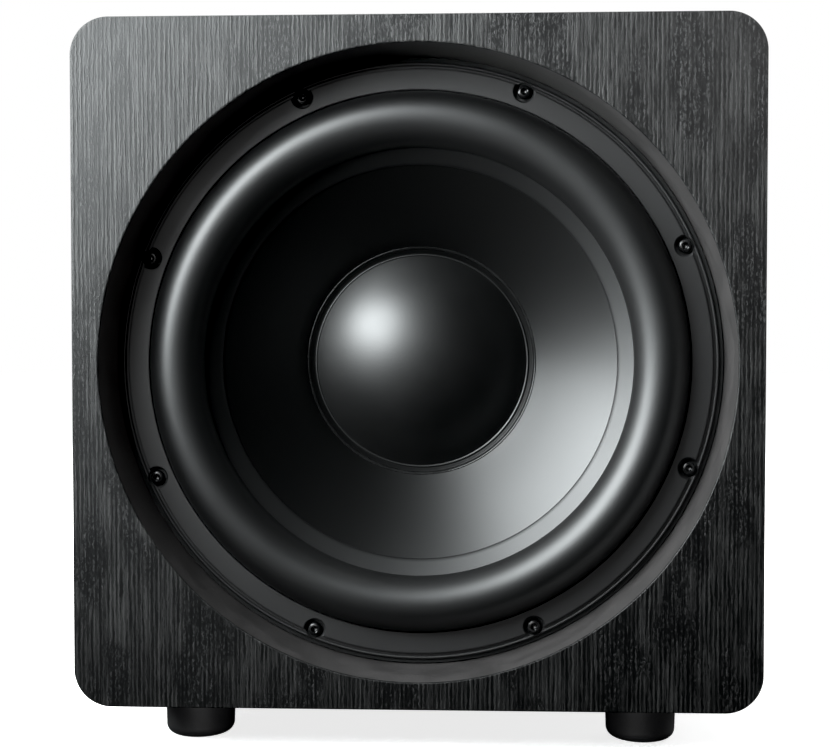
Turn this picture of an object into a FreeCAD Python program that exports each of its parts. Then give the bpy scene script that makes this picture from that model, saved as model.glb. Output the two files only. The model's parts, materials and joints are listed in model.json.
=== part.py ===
"""A powered subwoofer: a sealed box with a deeply recessed round driver and a plate amplifier.

Millimetres. +Z is up, the driver faces -Y and the amplifier faces +Y. The origin is on the
floor, below the middle of the whole object. The driver's pieces are drawn in (radius, depth),
where depth is counted backwards from the box's front face. The amplifier's pieces are drawn
from the outer face of the rear panel, where +Y points out of the box.
"""

import FreeCAD, Part
import math
import os
import re
import Sketcher

SIZES = {
    # The box
    "cab_width": 343,
    "cab_height": 344,
    "cab_depth": 372,
    "wall": 18,
    "corner_radius": 19,
    "post": 24,
    "corner_cut": 12.3,
    "rear_reach": 18,
    "recess_radius": 158.25,
    "recess_depth": 42,
    "board": 18,
    "cutout_radius": 141.5,
    "brace_depth": 215,
    "brace_thick": 15,
    "brace_window": 200,
    "window_radius": 30,
    "lining": 18,
    "amp_cutout": 222,
    # Feet
    "foot_height": 24,
    "foot_radius": 18.5,
    "foot_base": 17.9,
    "foot_edge": 5,
    "foot_well": 6.5,
    "foot_seat": 8,
    "foot_bore": 2.4,
    "foot_across": 116.2,
    "foot_setback": 45.5,
    # Driver mounting
    "gasket": 0.8,
    "sheet": 1.5,
    "flange_radius": 157.4,
    "screw_circle": 149.9,
    "screw_hole": 2.6,
    "head_radius": 3.5,
    "head_height": 3.6,
    "socket_flats": 3,
    "socket_depth": 2.2,
    "shank": 2,
    "screw_length": 25,
    "nut_barrel": 3.4,
    "nut_flange": 9,
    "nut_length": 10,
    # Trim ring
    "trim_front": 36.5,
    "trim_inner": 141,
    "trim_flat": 151.7,
    "trim_groove": 152.2,
    "trim_ridge": 153.6,
    "trim_outer": 155.5,
    "groove_depth": 2.3,
    "ridge_drop": 1.3,
    "pocket_radius": 4.9,
    "pocket_mouth": 6,
    # Surround, cone and dust cap
    "lip_front": 38.7,
    "lip_radius": 146,
    "roll_centre": 125.9,
    "roll_radius": 14.5,
    "rubber": 1,
    "lap_radius": 103.6,
    "cone_rise": 0.839,
    "cone_gap": 0.1,
    "cone_skin": 1.5,
    "neck_radius": 25.9,
    "neck_depth": 113.9,
    "cap_radius": 58.4,
    "cap_flange": 62.4,
    "cap_sphere": 96,
    "cap_skin": 0.8,
    # Coil, spider and motor
    "former_radius": 25.7,
    "former_skin": 0.3,
    "former_front": 106,
    "former_back": 150,
    "coil_radius": 27.3,
    "coil_front": 129,
    "coil_back": 149,
    "shelf_depth": 118,
    "shelf_inner": 70,
    "shelf_outer": 88.6,
    "spider_skin": 0.6,
    "spider_wave": 2.4,
    "spider_inner": 31,
    "spider_outer": 73,
    "spider_rim": 86,
    "seat_depth": 133.5,
    "seat_inner": 30,
    "gap_radius": 27.9,
    "plate_radius": 68,
    "plate_thick": 8,
    "magnet_inner": 40,
    "magnet_radius": 78,
    "magnet_thick": 24,
    "pole_radius": 24.9,
    "vent_radius": 8,
    "yoke_radius": 72,
    "yoke_thick": 9,
    "lead_across": 8,
    # Amplifier
    "amp_gasket": 1,
    "amp_side": 254,
    "amp_thick": 3,
    "amp_screw_reach": 119,
    "sink_width": 192,
    "sink_height": 70,
    "sink_bottom": 38,
    "sink_base": 3,
    "sink_depth": 12,
    "fin": 2,
    "fin_pitch": 10,
    "knob_height": 10,
    "volume_across": 66,
    "crossover_across": 22,
    "phase_across": -18,
    "knob_radius": 9.5,
    "bushing": 3.5,
    "shaft": 3,
    "jack_across": 44,
    "jack_pitch": 22,
    "jack_height": -44,
    "rocker_across": -68,
    "rocker_height": -8,
    "inlet_across": -62,
    "inlet_height": -74,
    "fuse_across": -14,
    "fuse_height": -74,
    "led_across": 100,
    "board_front": -17,
    "transformer_across": -66,
    "transformer_height": 56,
    "transformer_radius": 38,
    "transformer_bore": 12,
    "transformer_depth": 34,
}

SCREW_COUNT = 8
FIRST_SCREW_ANGLE = 23.7
ROCKER_TILT = 9

FRONT = "-(cab_depth + rear_reach) / 2"
BACK = "(cab_depth - rear_reach) / 2"
AXIS = "foot_height + cab_height / 2"
PLATE_BACK = "amp_gasket + amp_thick"
FLANGE_FRONT = "recess_depth - gasket - sheet"
LAP_START = "roll_centre - roll_radius"

Y_UP = FreeCAD.Vector(0, 1, 0)
Z_UP = FreeCAD.Vector(0, 0, 1)

DOC = FreeCAD.newDocument("Subwoofer")
SHEET = DOC.addObject("Spreadsheet::Sheet", "Dims")
for row, (alias, value) in enumerate(SIZES.items(), start=1):
    SHEET.set(f"A{row}", alias)
    SHEET.set(f"B{row}", str(value))
    SHEET.setAlias(f"B{row}", alias)
DOC.recompute()

ALIASES = re.compile(r"\b(" + "|".join(SIZES) + r")\b")
NODES = []


# Formulas and placing


def size(formula):
    """The value of a formula that uses the sheet's names."""
    return float(SHEET.evalExpression(formula))


def bind(obj, prop, formula):
    obj.setExpression(prop, ALIASES.sub(r"Dims.\1", formula))


def place(obj, x="0", y="0", z="0"):
    for letter, formula in zip("xyz", (x, y, z)):
        bind(obj, f"Placement.Base.{letter}", formula)


def node(obj, label):
    obj.Label = label
    NODES.append(obj)
    return obj


# Sketches and PartDesign features


def new_body(label, x="0", y="0", z="0", kept=True):
    body = DOC.addObject("PartDesign::Body", label)
    body.Label = label
    place(body, x, y, z)
    if kept:
        NODES.append(body)
    return body


def origin_part(body, role):
    return next(f for f in body.Origin.OriginFeatures if f.Role == role)


def new_sketch(body, name, plane):
    sketch = body.newObject("Sketcher::SketchObject", f"{body.Label}_{name}")
    sketch.AttachmentSupport = [(origin_part(body, plane), "")]
    sketch.MapMode = "FlatFace"
    return sketch


def fix_coordinate(sketch, edge, end, kind, formula):
    """Holds one coordinate of a sketch point at a formula's value."""
    value = size(formula)
    if abs(value) < 1e-9:
        axis = -2 if kind == "DistanceX" else -1
        sketch.addConstraint(Sketcher.Constraint("PointOnObject", edge, end, axis))
        return
    index = sketch.addConstraint(Sketcher.Constraint(kind, -1, 1, edge, end, value))
    bind(sketch, f"Constraints[{index}]", formula)


def arc_edge(start, end, centre, clockwise):
    first = math.atan2(start.y - centre.y, start.x - centre.x)
    last = math.atan2(end.y - centre.y, end.x - centre.x)
    if clockwise:
        first, last = last, first
    circle = Part.Circle(centre, Z_UP, (start - centre).Length)
    return Part.ArcOfCircle(circle, first, last)


def outline(body, name, plane, corners, arcs=None):
    """A closed outline whose corners are pairs of formulas.

    arcs gives, for a corner's number, (centre x, centre y, held letter, clockwise) of the arc
    that leaves that corner. Other edges are straight.
    """
    arcs = arcs or {}
    sketch = new_sketch(body, name, plane)
    points = [FreeCAD.Vector(size(x), size(y), 0) for x, y in corners]
    count = len(points)
    first_end = []
    for i, start in enumerate(points):
        end = points[(i + 1) % count]
        if i in arcs:
            centre_x, centre_y, _, clockwise = arcs[i]
            centre = FreeCAD.Vector(size(centre_x), size(centre_y), 0)
            sketch.addGeometry(arc_edge(start, end, centre, clockwise))
            first_end.append(2 if clockwise else 1)
        else:
            sketch.addGeometry(Part.LineSegment(start, end))
            first_end.append(1)
    for i in range(count):
        following = (i + 1) % count
        joined = ("Coincident", i, 3 - first_end[i], following, first_end[following])
        sketch.addConstraint(Sketcher.Constraint(*joined))
        fix_coordinate(sketch, i, first_end[i], "DistanceX", corners[i][0])
        fix_coordinate(sketch, i, first_end[i], "DistanceY", corners[i][1])
    for i, (centre_x, centre_y, held, _) in arcs.items():
        if held == "x":
            fix_coordinate(sketch, i, 3, "DistanceX", centre_x)
        else:
            fix_coordinate(sketch, i, 3, "DistanceY", centre_y)
    return sketch


def rectangle(body, name, plane, width, height, x="0", y="0"):
    """A rectangle about the point (x, y)."""
    left, right = f"({x}) - ({width}) / 2", f"({x}) + ({width}) / 2"
    low, high = f"({y}) - ({height}) / 2", f"({y}) + ({height}) / 2"
    corners = [(left, low), (right, low), (right, high), (left, high)]
    return outline(body, name, plane, corners)


def circle(body, name, plane, radius, x="0", y="0"):
    sketch = new_sketch(body, name, plane)
    centre = FreeCAD.Vector(size(x), size(y), 0)
    sketch.addGeometry(Part.Circle(centre, Z_UP, size(radius)))
    index = sketch.addConstraint(Sketcher.Constraint("Radius", 0, size(radius)))
    bind(sketch, f"Constraints[{index}]", radius)
    fix_coordinate(sketch, 0, 3, "DistanceX", x)
    fix_coordinate(sketch, 0, 3, "DistanceY", y)
    return sketch


def feature(body, kind, name):
    return body.newObject(f"PartDesign::{kind}", f"{body.Label}_{name}")


def pad(body, sketch, length, name="Pad", reverse=True):
    """A pad; from the XZ plane a reversed one grows along +Y."""
    made = feature(body, "Pad", name)
    made.Profile = sketch
    made.Reversed = reverse
    bind(made, "Length", length)
    return made


def revolve(body, sketch, name="Revolution"):
    """Turns a sketch about its own vertical axis."""
    made = feature(body, "Revolution", name)
    made.Profile = sketch
    made.ReferenceAxis = (sketch, ["V_Axis"])
    made.Angle = 360
    return made


def cut_through(body, sketch, name):
    made = feature(body, "Pocket", name)
    made.Profile = sketch
    made.Type = "ThroughAll"
    made.SideType = "Symmetric"
    return made


def cut_blind(body, sketch, depth, name):
    """From the XZ plane, a pocket that goes along +Y."""
    made = feature(body, "Pocket", name)
    made.Profile = sketch
    bind(made, "Length", depth)
    return made


def polar(body, cut, count, name="Pattern"):
    """Repeats a feature around the body's Y axis."""
    made = feature(body, "PolarPattern", name)
    made.Originals = [cut]
    made.Axis = (origin_part(body, "Y_Axis"), [""])
    made.Angle = 360
    made.Occurrences = count
    body.Tip = made
    return made


def edges_along(shape, direction):
    """The names of a shape's straight edges that run along a direction."""
    names = []
    for i, edge in enumerate(shape.Edges, start=1):
        straight = edge.Curve.TypeId == "Part::GeomLine"
        if straight and edge.Curve.Direction.cross(direction).Length < 1e-6:
            names.append(f"Edge{i}")
    return names


def dress(body, kind, base, names, prop, formula):
    """A PartDesign Fillet or Chamfer on named edges of a feature."""
    made = feature(body, kind, kind)
    made.Base = (base, names)
    bind(made, prop, formula)
    return made


def rounded(body, base, radius, direction=Y_UP):
    DOC.recompute()
    return dress(body, "Fillet", base, edges_along(base.Shape, direction), "Radius", radius)


def lathe(label, corners, arcs=None, x="0", y=FRONT, z=AXIS, kept=True):
    """A turned piece from a (radius, depth) outline, about a line along Y."""
    body = new_body(label, x, y, z, kept)
    revolve(body, outline(body, "Profile", "XY_Plane", corners, arcs))
    return body


def ring_holes(body, radius, name):
    """A circle of holes for the driver's screws."""
    angle = f"{FIRST_SCREW_ANGLE} deg"
    across, up = f"screw_circle * cos({angle})", f"screw_circle * sin({angle})"
    hole = circle(body, name, "XZ_Plane", radius, across, up)
    return polar(body, cut_through(body, hole, f"{name}Cut"), SCREW_COUNT, f"{name}s")


# Part primitives


def box(label, corner, spans, kept=True):
    made = DOC.addObject("Part::Box", label)
    for prop, formula in zip(("Length", "Width", "Height"), spans):
        bind(made, prop, formula)
    place(made, *corner)
    made.Label = label
    if kept:
        NODES.append(made)
    return made


def copies(label, source, placements):
    """Several separate solids of one piece, in one node."""
    DOC.recompute()
    solids = []
    for placement in placements:
        solid = source.Shape.copy()
        solid.Placement = placement.multiply(solid.Placement)
        solids.append(solid)
    made = DOC.addObject("Part::Feature", label)
    made.Shape = Part.makeCompound(solids)
    return node(made, label)


def joined(label, solids, placement=None):
    """A piece made of solids that are fused where they meet."""
    shape = solids[0]
    if len(solids) > 1:
        shape = shape.fuse(solids[1:]).removeSplitter()
    made = DOC.addObject("Part::Feature", label)
    made.Shape = shape
    made.Placement = placement or FreeCAD.Placement()
    return node(made, label)


def block(low, high):
    """A box between two corners."""
    spans = [b - a for a, b in zip(low, high)]
    return Part.makeBox(*spans, FreeCAD.Vector(*low))


def driver_origin():
    return FreeCAD.Placement(FreeCAD.Vector(0, size(FRONT), size(AXIS)), FreeCAD.Rotation())


def amp_origin():
    return FreeCAD.Placement(FreeCAD.Vector(0, size(BACK), size(AXIS)), FreeCAD.Rotation())


# The box


def front_baffle():
    body = new_body("front_baffle", y=FRONT, z=AXIS)
    slab = pad(body, rectangle(body, "Face", "XZ_Plane", "cab_width", "cab_height"), "recess_depth")
    rounded(body, slab, "corner_radius")
    cut_through(body, circle(body, "Recess", "XZ_Plane", "recess_radius"), "RecessCut")


def inner_board(label, depth, thickness):
    """A board that fills the box's inside, with its corners cut off to clear the posts."""
    body = new_body(label, y=f"{FRONT} + {depth}", z=AXIS)
    face = rectangle(body, "Face", "XZ_Plane", "cab_width - 2 * wall", "cab_height - 2 * wall")
    slab = pad(body, face, thickness)
    DOC.recompute()
    dress(body, "Chamfer", slab, edges_along(slab.Shape, Y_UP), "Size", "corner_cut")
    return body


def mounting_baffle():
    body = inner_board("mounting_baffle", "recess_depth", "board")
    cut_through(body, circle(body, "Cutout", "XZ_Plane", "cutout_radius"), "CutoutCut")
    ring_holes(body, "nut_barrel + 0.1", "NutHole")


def brace():
    body = inner_board("window_brace", "brace_depth", "brace_thick")
    window = rectangle(body, "Window", "XZ_Plane", "brace_window", "brace_window")
    cut_through(body, window, "WindowCut")


def damping_lining():
    length = "cab_depth - wall - brace_depth - brace_thick"
    body = inner_board("damping_lining", "(brace_depth + brace_thick)", length)
    width = "cab_width - 2 * wall - 2 * lining"
    height = "cab_height - 2 * wall - 2 * lining"
    cut_through(body, rectangle(body, "Hollow", "XZ_Plane", width, height), "HollowCut")


def amp_screw_places():
    reach = size("amp_screw_reach")
    steps = (-reach, 0, reach)
    return [(x, z) for x in steps for z in steps if x or z]


def rear_panel():
    body = inner_board("rear_panel", "(cab_depth - wall)", "wall")
    cut_through(body, rectangle(body, "Cutout", "XZ_Plane", "amp_cutout", "amp_cutout"), "CutoutCut")
    for i, (x, z) in enumerate(amp_screw_places()):
        pilot = circle(body, f"Pilot{i}", "XZ_Plane", "shank + 0.1", str(x), str(z))
        cut_through(body, pilot, f"PilotCut{i}")


def wall_panels():
    length = "cab_depth - recess_depth"
    start = f"{FRONT} + recess_depth"
    inner_width, inner_height = "cab_width - 2 * post", "cab_height - 2 * post"
    left_edge = "post - cab_width / 2"
    box("top_panel", (left_edge, start, "foot_height + cab_height - wall"), (inner_width, length, "wall"))
    side_z = "foot_height + post"
    box("left_panel", ("-cab_width / 2", start, side_z), ("wall", length, inner_height))
    box("right_panel", ("cab_width / 2 - wall", start, side_z), ("wall", length, inner_height))
    bottom_panel(left_edge, start, inner_width, length)


def foot_places():
    across, front, back = size("foot_across"), size(FRONT), size(BACK)
    setback = size("foot_setback")
    return {
        "front_left": (-across, front + setback),
        "front_right": (across, front + setback),
        "rear_left": (-across, back - setback),
        "rear_right": (across, back - setback),
    }


def bottom_panel(left_edge, start, inner_width, length):
    slab = box("bottom_slab", (left_edge, start, "foot_height"), (inner_width, length, "wall"), kept=False)
    pilots = []
    for name, (x, y) in foot_places().items():
        pilot = DOC.addObject("Part::Cylinder", f"pilot_{name}")
        bind(pilot, "Radius", "shank + 0.2")
        bind(pilot, "Height", "wall - 3")
        place(pilot, str(x), str(y), "foot_height")
        pilots.append(pilot)
    holes = DOC.addObject("Part::MultiFuse", "foot_pilots")
    holes.Shapes = pilots
    panel = DOC.addObject("Part::Cut", "bottom_panel")
    panel.Base = slab
    panel.Tool = holes
    node(panel, "bottom_panel")


def corner_posts():
    """Four solid mouldings, each with its outer corner rounded."""
    corners = {
        "top_right": (0, "cab_width / 2", "foot_height + cab_height"),
        "bottom_right": (90, "cab_width / 2", "foot_height"),
        "bottom_left": (180, "-cab_width / 2", "foot_height"),
        "top_left": (270, "-cab_width / 2", "foot_height + cab_height"),
    }
    for name, (angle, x, z) in corners.items():
        body = new_body(f"corner_post_{name}")
        square = rectangle(body, "Square", "XZ_Plane", "post", "post", "-post / 2", "-post / 2")
        bar = pad(body, square, "cab_depth - recess_depth")
        DOC.recompute()
        outer = [
            edge
            for edge in edges_along(bar.Shape, Y_UP)
            if bar.Shape.getElement(edge).CenterOfMass.x > -1e-6
            and bar.Shape.getElement(edge).CenterOfMass.z > -1e-6
        ]
        dress(body, "Fillet", bar, outer, "Radius", "corner_radius")
        body.Placement = FreeCAD.Placement(FreeCAD.Vector(), FreeCAD.Rotation(Y_UP, angle))
        place(body, x, f"{FRONT} + recess_depth", z)


def feet():
    """Rubber feet, each with a well for its screw's head."""
    corners = [
        ("foot_well", "0"),
        ("foot_base - foot_edge", "0"),
        ("foot_base", "foot_edge"),
        ("foot_radius", "foot_height"),
        ("foot_bore", "foot_height"),
        ("foot_bore", "foot_seat"),
        ("foot_well", "foot_seat"),
    ]
    bottom_edge = {1: ("foot_base - foot_edge", "foot_edge", "x", False)}
    for name, (x, y) in foot_places().items():
        body = new_body(f"foot_{name}", str(x), str(y))
        revolve(body, outline(body, "Profile", "XZ_Plane", corners, bottom_edge))


def foot_screws():
    screw = new_body("foot_screw_pattern", kept=False)
    corners = [
        ("0", "foot_seat - 3"),
        ("5", "foot_seat - 3"),
        ("5", "foot_seat"),
        ("shank", "foot_seat"),
        ("shank", "foot_height + wall - 4"),
        ("0", "foot_height + wall - 4"),
    ]
    revolve(screw, outline(screw, "Profile", "XZ_Plane", corners))
    places = foot_places().values()
    spots = [FreeCAD.Placement(FreeCAD.Vector(x, y, 0), FreeCAD.Rotation()) for x, y in places]
    copies("foot_screws", screw, spots)


# The driver's frame and mounting


def baffle_gasket():
    inner, outer = "cutout_radius + 1.5", "flange_radius - 1"
    front = "recess_depth - gasket"
    corners = [(inner, front), (outer, front), (outer, "recess_depth"), (inner, "recess_depth")]
    ring_holes(lathe("baffle_gasket", corners), "screw_hole", "Hole")


def basket():
    """A pressed steel frame: a flat flange, a wall, eight legs, a spider shelf and a motor seat."""
    wall_outer, wall_inner = "cutout_radius - 1.5", "cutout_radius - 3"
    corners = [
        ("flange_radius", FLANGE_FRONT),
        ("flange_radius", "recess_depth - gasket"),
        (wall_outer, "recess_depth - gasket"),
        (wall_outer, "61"),
        ("shelf_outer", "112"),
        ("shelf_outer", "shelf_depth + sheet"),
        ("shelf_inner + sheet", "shelf_depth + sheet"),
        ("shelf_inner + sheet", "seat_depth + sheet"),
        ("seat_inner", "seat_depth + sheet"),
        ("seat_inner", "seat_depth"),
        ("shelf_inner", "seat_depth"),
        ("shelf_inner", "shelf_depth"),
        ("shelf_outer - sheet", "shelf_depth"),
        ("shelf_outer - sheet", "111.4"),
        (wall_inner, "60.4"),
        (wall_inner, FLANGE_FRONT),
    ]
    body = lathe("basket", corners)
    window = [("-27", "91"), ("27", "91"), ("42", "132"), ("-42", "132")]
    opening = outline(body, "Window", "XZ_Plane", window)
    polar(body, cut_through(body, opening, "WindowCut"), 8, "Windows")
    ring_holes(body, "screw_hole", "Hole")


def trim_ring():
    """The rubber ring over the flange: a flat face, a groove and a ridge, with screw pockets."""
    corners = [
        ("trim_inner", "lip_front"),
        ("trim_inner", "trim_front + 0.6"),
        ("trim_inner + 0.6", "trim_front"),
        ("trim_flat", "trim_front"),
        ("trim_groove", "trim_front + groove_depth"),
        ("trim_ridge", "trim_front + groove_depth"),
        ("trim_ridge + 0.3", "trim_front + ridge_drop"),
        ("trim_ridge + 1.1", "trim_front + ridge_drop"),
        ("trim_outer", "trim_front + groove_depth"),
        ("trim_outer", FLANGE_FRONT),
        ("lip_radius + 0.7", FLANGE_FRONT),
        ("lip_radius + 0.7", "lip_front"),
    ]
    body = lathe("trim_ring", corners)
    ring_holes(body, "pocket_radius", "Pocket")
    pockets = body.Tip
    DOC.recompute()
    mouths = []
    for i, edge in enumerate(pockets.Shape.Edges, start=1):
        flat = abs(edge.BoundBox.YLength) < 1e-6
        at_face = abs(edge.BoundBox.YMin - pockets.Shape.BoundBox.YMin) < 1e-6
        round_pocket = edge.Curve.TypeId == "Part::GeomCircle" and edge.Curve.Radius < 10
        if flat and at_face and round_pocket:
            mouths.append(f"Edge{i}")
    dress(body, "Chamfer", pockets, mouths, "Size", "pocket_mouth - pocket_radius")


def screw_angles():
    return [FIRST_SCREW_ANGLE + 360 / SCREW_COUNT * k for k in range(SCREW_COUNT)]


def around_driver(depth):
    """A placement at each driver screw, at a depth behind the front face."""
    spots = []
    for angle in screw_angles():
        x = size("screw_circle") * math.cos(math.radians(angle))
        z = size("screw_circle") * math.sin(math.radians(angle))
        spot = FreeCAD.Vector(x, size(FRONT) + depth, size(AXIS) + z)
        spots.append(FreeCAD.Placement(spot, FreeCAD.Rotation(Y_UP, -angle)))
    return spots


def driver_screws():
    corners = [
        ("0", "0"),
        ("head_radius - 0.4", "0"),
        ("head_radius", "0.4"),
        ("head_radius", "head_height"),
        ("shank", "head_height"),
        ("shank", "head_height + screw_length"),
        ("0", "head_height + screw_length"),
    ]
    screw = lathe("driver_screw_pattern", corners, y="0", z="0", kept=False)
    reach = "socket_flats / sqrt(3)"
    turns = [60 * k for k in range(6)]
    hexagon = [(f"{reach} * cos({a} deg)", f"{reach} * sin({a} deg)") for a in turns]
    cut_blind(screw, outline(screw, "Socket", "XZ_Plane", hexagon), "socket_depth", "SocketCut")
    copies("driver_screws", screw, around_driver(size(FLANGE_FRONT) - size("head_height")))


def tee_nuts():
    corners = [
        ("shank + 0.1", "0"),
        ("nut_barrel", "0"),
        ("nut_barrel", "nut_length"),
        ("nut_flange", "nut_length"),
        ("nut_flange", "nut_length + sheet"),
        ("shank + 0.1", "nut_length + sheet"),
    ]
    nut = lathe("tee_nut_pattern", corners, y="0", z="0", kept=False)
    copies("tee_nuts", nut, around_driver(size("recess_depth + board - nut_length")))


# The moving assembly


def behind_lap(radius, offset="0"):
    """Depth of the cone's slope at a radius, behind the surround's inner lip."""
    return f"lip_front + ({LAP_START} - ({radius})) * cone_rise + ({offset})"


def surround():
    """A half-round rubber roll with a flat outer lip and a sloping inner lap."""
    outer, inner = "roll_centre + roll_radius", LAP_START
    lap_back = "rubber * sqrt(1 + cone_rise^2) * 0.8"
    corners = [
        ("lip_radius", "lip_front"),
        (outer, "lip_front"),
        (inner, "lip_front"),
        ("lap_radius", behind_lap("lap_radius")),
        ("lap_radius", behind_lap("lap_radius", lap_back)),
        (f"{inner} + rubber", behind_lap(f"{inner} + rubber", lap_back)),
        (f"{outer} - rubber", behind_lap(f"{inner} + rubber", lap_back)),
        (f"{outer} - rubber", FLANGE_FRONT),
        ("lip_radius", FLANGE_FRONT),
    ]
    rise = behind_lap(f"{inner} + rubber", lap_back)
    arcs = {
        1: ("roll_centre", "lip_front", "y", True),
        5: ("roll_centre", rise, "y", False),
    }
    lathe("surround", corners, arcs)


def cone():
    back = "cone_skin"
    rim = f"{LAP_START} + 0.2"
    lap_back = "rubber * sqrt(1 + cone_rise^2) * 0.8 + cone_gap"
    corners = [
        (rim, behind_lap(rim, lap_back)),
        ("neck_radius", behind_lap("neck_radius", lap_back)),
        ("neck_radius", "neck_depth"),
        ("neck_radius + 1.2", "neck_depth"),
        ("neck_radius + 1.2", behind_lap("neck_radius + 1.2", f"{lap_back} + {back}")),
        (rim, behind_lap(rim, f"{lap_back} + {back}")),
    ]
    lathe("cone", corners)


def cap_flange_front(radius):
    """Depth of the dust cap's glue flange, which lies on the cone."""
    skin = "(cone_gap + (rubber * 0.8 - cap_skin) * sqrt(1 + cone_rise^2)) - 0.1"
    return behind_lap(radius, skin)


def dust_cap():
    edge = cap_flange_front("cap_radius")
    back = "cap_skin * sqrt(1 + cone_rise^2)"
    drop = "(cap_sphere - sqrt(cap_sphere^2 - cap_radius^2))"
    inner_drop = "(cap_sphere - sqrt(cap_sphere^2 - (cap_radius - 1)^2))"
    apex = f"({edge}) - {drop}"
    inner_apex = f"({cap_flange_front('cap_radius - 1')}) + {back} - {inner_drop}"
    corners = [
        ("0", apex),
        ("cap_radius", edge),
        ("cap_flange", cap_flange_front("cap_flange")),
        ("cap_flange", f"({cap_flange_front('cap_flange')}) + {back}"),
        ("cap_radius - 1", f"({cap_flange_front('cap_radius - 1')}) + {back}"),
        ("0", inner_apex),
    ]
    arcs = {
        0: ("0", f"({apex}) + cap_sphere", "x", False),
        4: ("0", f"({inner_apex}) + cap_sphere", "x", True),
    }
    lathe("dust_cap", corners, arcs)


def tube(label, inner, outer, front, back):
    return lathe(label, [(inner, front), (outer, front), (outer, back), (inner, back)])


def coil_and_former():
    tube("voice_coil_former", "former_radius - former_skin", "former_radius", "former_front", "former_back")
    tube("voice_coil", "former_radius + 0.05", "coil_radius", "coil_front", "coil_back")


def spider():
    """A corrugated cloth disc from the former to the basket's shelf."""
    flat = "shelf_depth - spider_skin"
    waves = 10
    front = [("former_radius + 0.1", f"{flat} - 2"), ("former_radius + 1.2", f"{flat} - 2")]
    for k in range(waves + 1):
        side = "-" if k % 2 else "+"
        radius = f"spider_inner + (spider_outer - spider_inner) * {k} / {waves}"
        front.append((radius, f"{flat} - spider_wave / 2 {side} spider_wave / 2"))
    front.append(("spider_outer + 2", flat))
    front.append(("spider_rim", flat))
    back = [(radius, f"({depth}) + spider_skin") for radius, depth in reversed(front)]
    lathe("spider", front + back)


# The motor


def motor():
    plate_front, magnet_front = "seat_depth + sheet", "seat_depth + sheet + plate_thick"
    magnet_back = f"{magnet_front} + magnet_thick"
    tube("top_plate", "gap_radius", "plate_radius", plate_front, magnet_front)
    tube("magnet", "magnet_inner", "magnet_radius", magnet_front, magnet_back)
    yoke_back = f"{magnet_back} + yoke_thick"
    corners = [
        ("vent_radius", "seat_depth - 0.5"),
        ("pole_radius", "seat_depth - 0.5"),
        ("pole_radius", magnet_back),
        ("yoke_radius", magnet_back),
        ("yoke_radius", yoke_back),
        ("vent_radius", yoke_back),
    ]
    lathe("pole_yoke", corners)


def terminal_block():
    """An insulating board on the back of the spider shelf, with two push-on tabs."""
    back = size("shelf_depth + sheet")
    inside, outside = size("shelf_outer") + 2.6, size("shelf_outer") + 5.1
    foot = block((-15, back, 76), (15, back + 2, outside))
    board = block((-15, back - 19.5, inside), (15, back + 6, outside))
    tabs = [block((x - 3, back + 2, inside + 0.8), (x + 3, back + 16, inside + 1.6)) for x in lead_spots()]
    joined("terminal_block", [foot, board] + tabs, driver_origin())


def lead_spots():
    across = size("lead_across")
    return (-across, across)


def rounded_path(points, share=0.45):
    """Straight runs joined by tangent arcs, each as large as its two runs allow."""
    edges = []
    last = points[0]
    for before, corner, after in zip(points, points[1:], points[2:]):
        run_in, run_out = corner - before, after - corner
        cut = share * min(run_in.Length, run_out.Length)
        start = corner - run_in.normalize() * cut
        end = corner + run_out.normalize() * cut
        half_turn = run_in.getAngle(run_out) / 2
        inward = ((start + end) * 0.5 - corner).normalize()
        sag = cut * math.tan(half_turn / 2) * math.cos(half_turn)
        middle = corner + inward * (cut * math.sin(half_turn) - sag)
        edges.append(Part.LineSegment(last, start).toShape())
        edges.append(Part.Arc(start, middle, end).toShape())
        last = end
    edges.append(Part.LineSegment(last, points[-1]).toShape())
    return Part.Wire(edges)


def wire_tube(points, radius):
    """A round wire along a rounded path."""
    path = rounded_path(points)
    direction = points[1] - points[0]
    ring = Part.Wire(Part.Circle(points[0], direction, radius).toShape())
    return path.makePipeShell([ring], True, True)


def tinsel_leads():
    """Two braided leads that bridge from the terminal board to the back of the cone."""
    wires = []
    for x in lead_spots():
        route = [(x, 99.9, 92.4), (x, 93, 91.5), (x, 88, 84), (x, 84, 75), (x, 73.9, 73.4)]
        points = [FreeCAD.Vector(*p) for p in route]
        wires.append(wire_tube(points, 0.9))
    made = DOC.addObject("Part::Feature", "tinsel_leads")
    made.Shape = Part.makeCompound(wires)
    made.Placement = driver_origin()
    node(made, "tinsel_leads")


def speaker_leads():
    """Two insulated wires from the amplifier's board to the driver's tabs."""
    board = size("cab_depth + board_front")
    wires = []
    for x in lead_spots():
        route = [(x, 135.6, 92.6), (x, 165, 92), (x + 8, 205, 84), (x + 24, 255, 74)]
        route += [(x + 40, 305, 72), (x + 44, board - 0.1, 72)]
        points = [FreeCAD.Vector(*p) for p in route]
        wires.append(wire_tube(points, 1.5))
    made = DOC.addObject("Part::Feature", "speaker_leads")
    made.Shape = Part.makeCompound(wires)
    made.Placement = driver_origin()
    node(made, "speaker_leads")


# The amplifier


def amp_body(label, x="0", z="0", kept=True, y="0"):
    return new_body(label, x, f"{BACK} + {y}", f"{AXIS} + {z}", kept)


def amp_lathe(label, corners, x, z, kept=True, arcs=None):
    return lathe(label, corners, arcs, x, BACK, f"{AXIS} + {z}", kept)


def amp_gasket():
    body = amp_body("amp_gasket")
    pad(body, rectangle(body, "Face", "XZ_Plane", "amp_side - 2", "amp_side - 2"), "amp_gasket")
    cut_through(body, rectangle(body, "Hollow", "XZ_Plane", "amp_cutout", "amp_cutout"), "HollowCut")
    for i, (x, z) in enumerate(amp_screw_places()):
        hole = circle(body, f"Hole{i}", "XZ_Plane", "shank + 0.3", str(x), str(z))
        cut_through(body, hole, f"HoleCut{i}")


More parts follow.
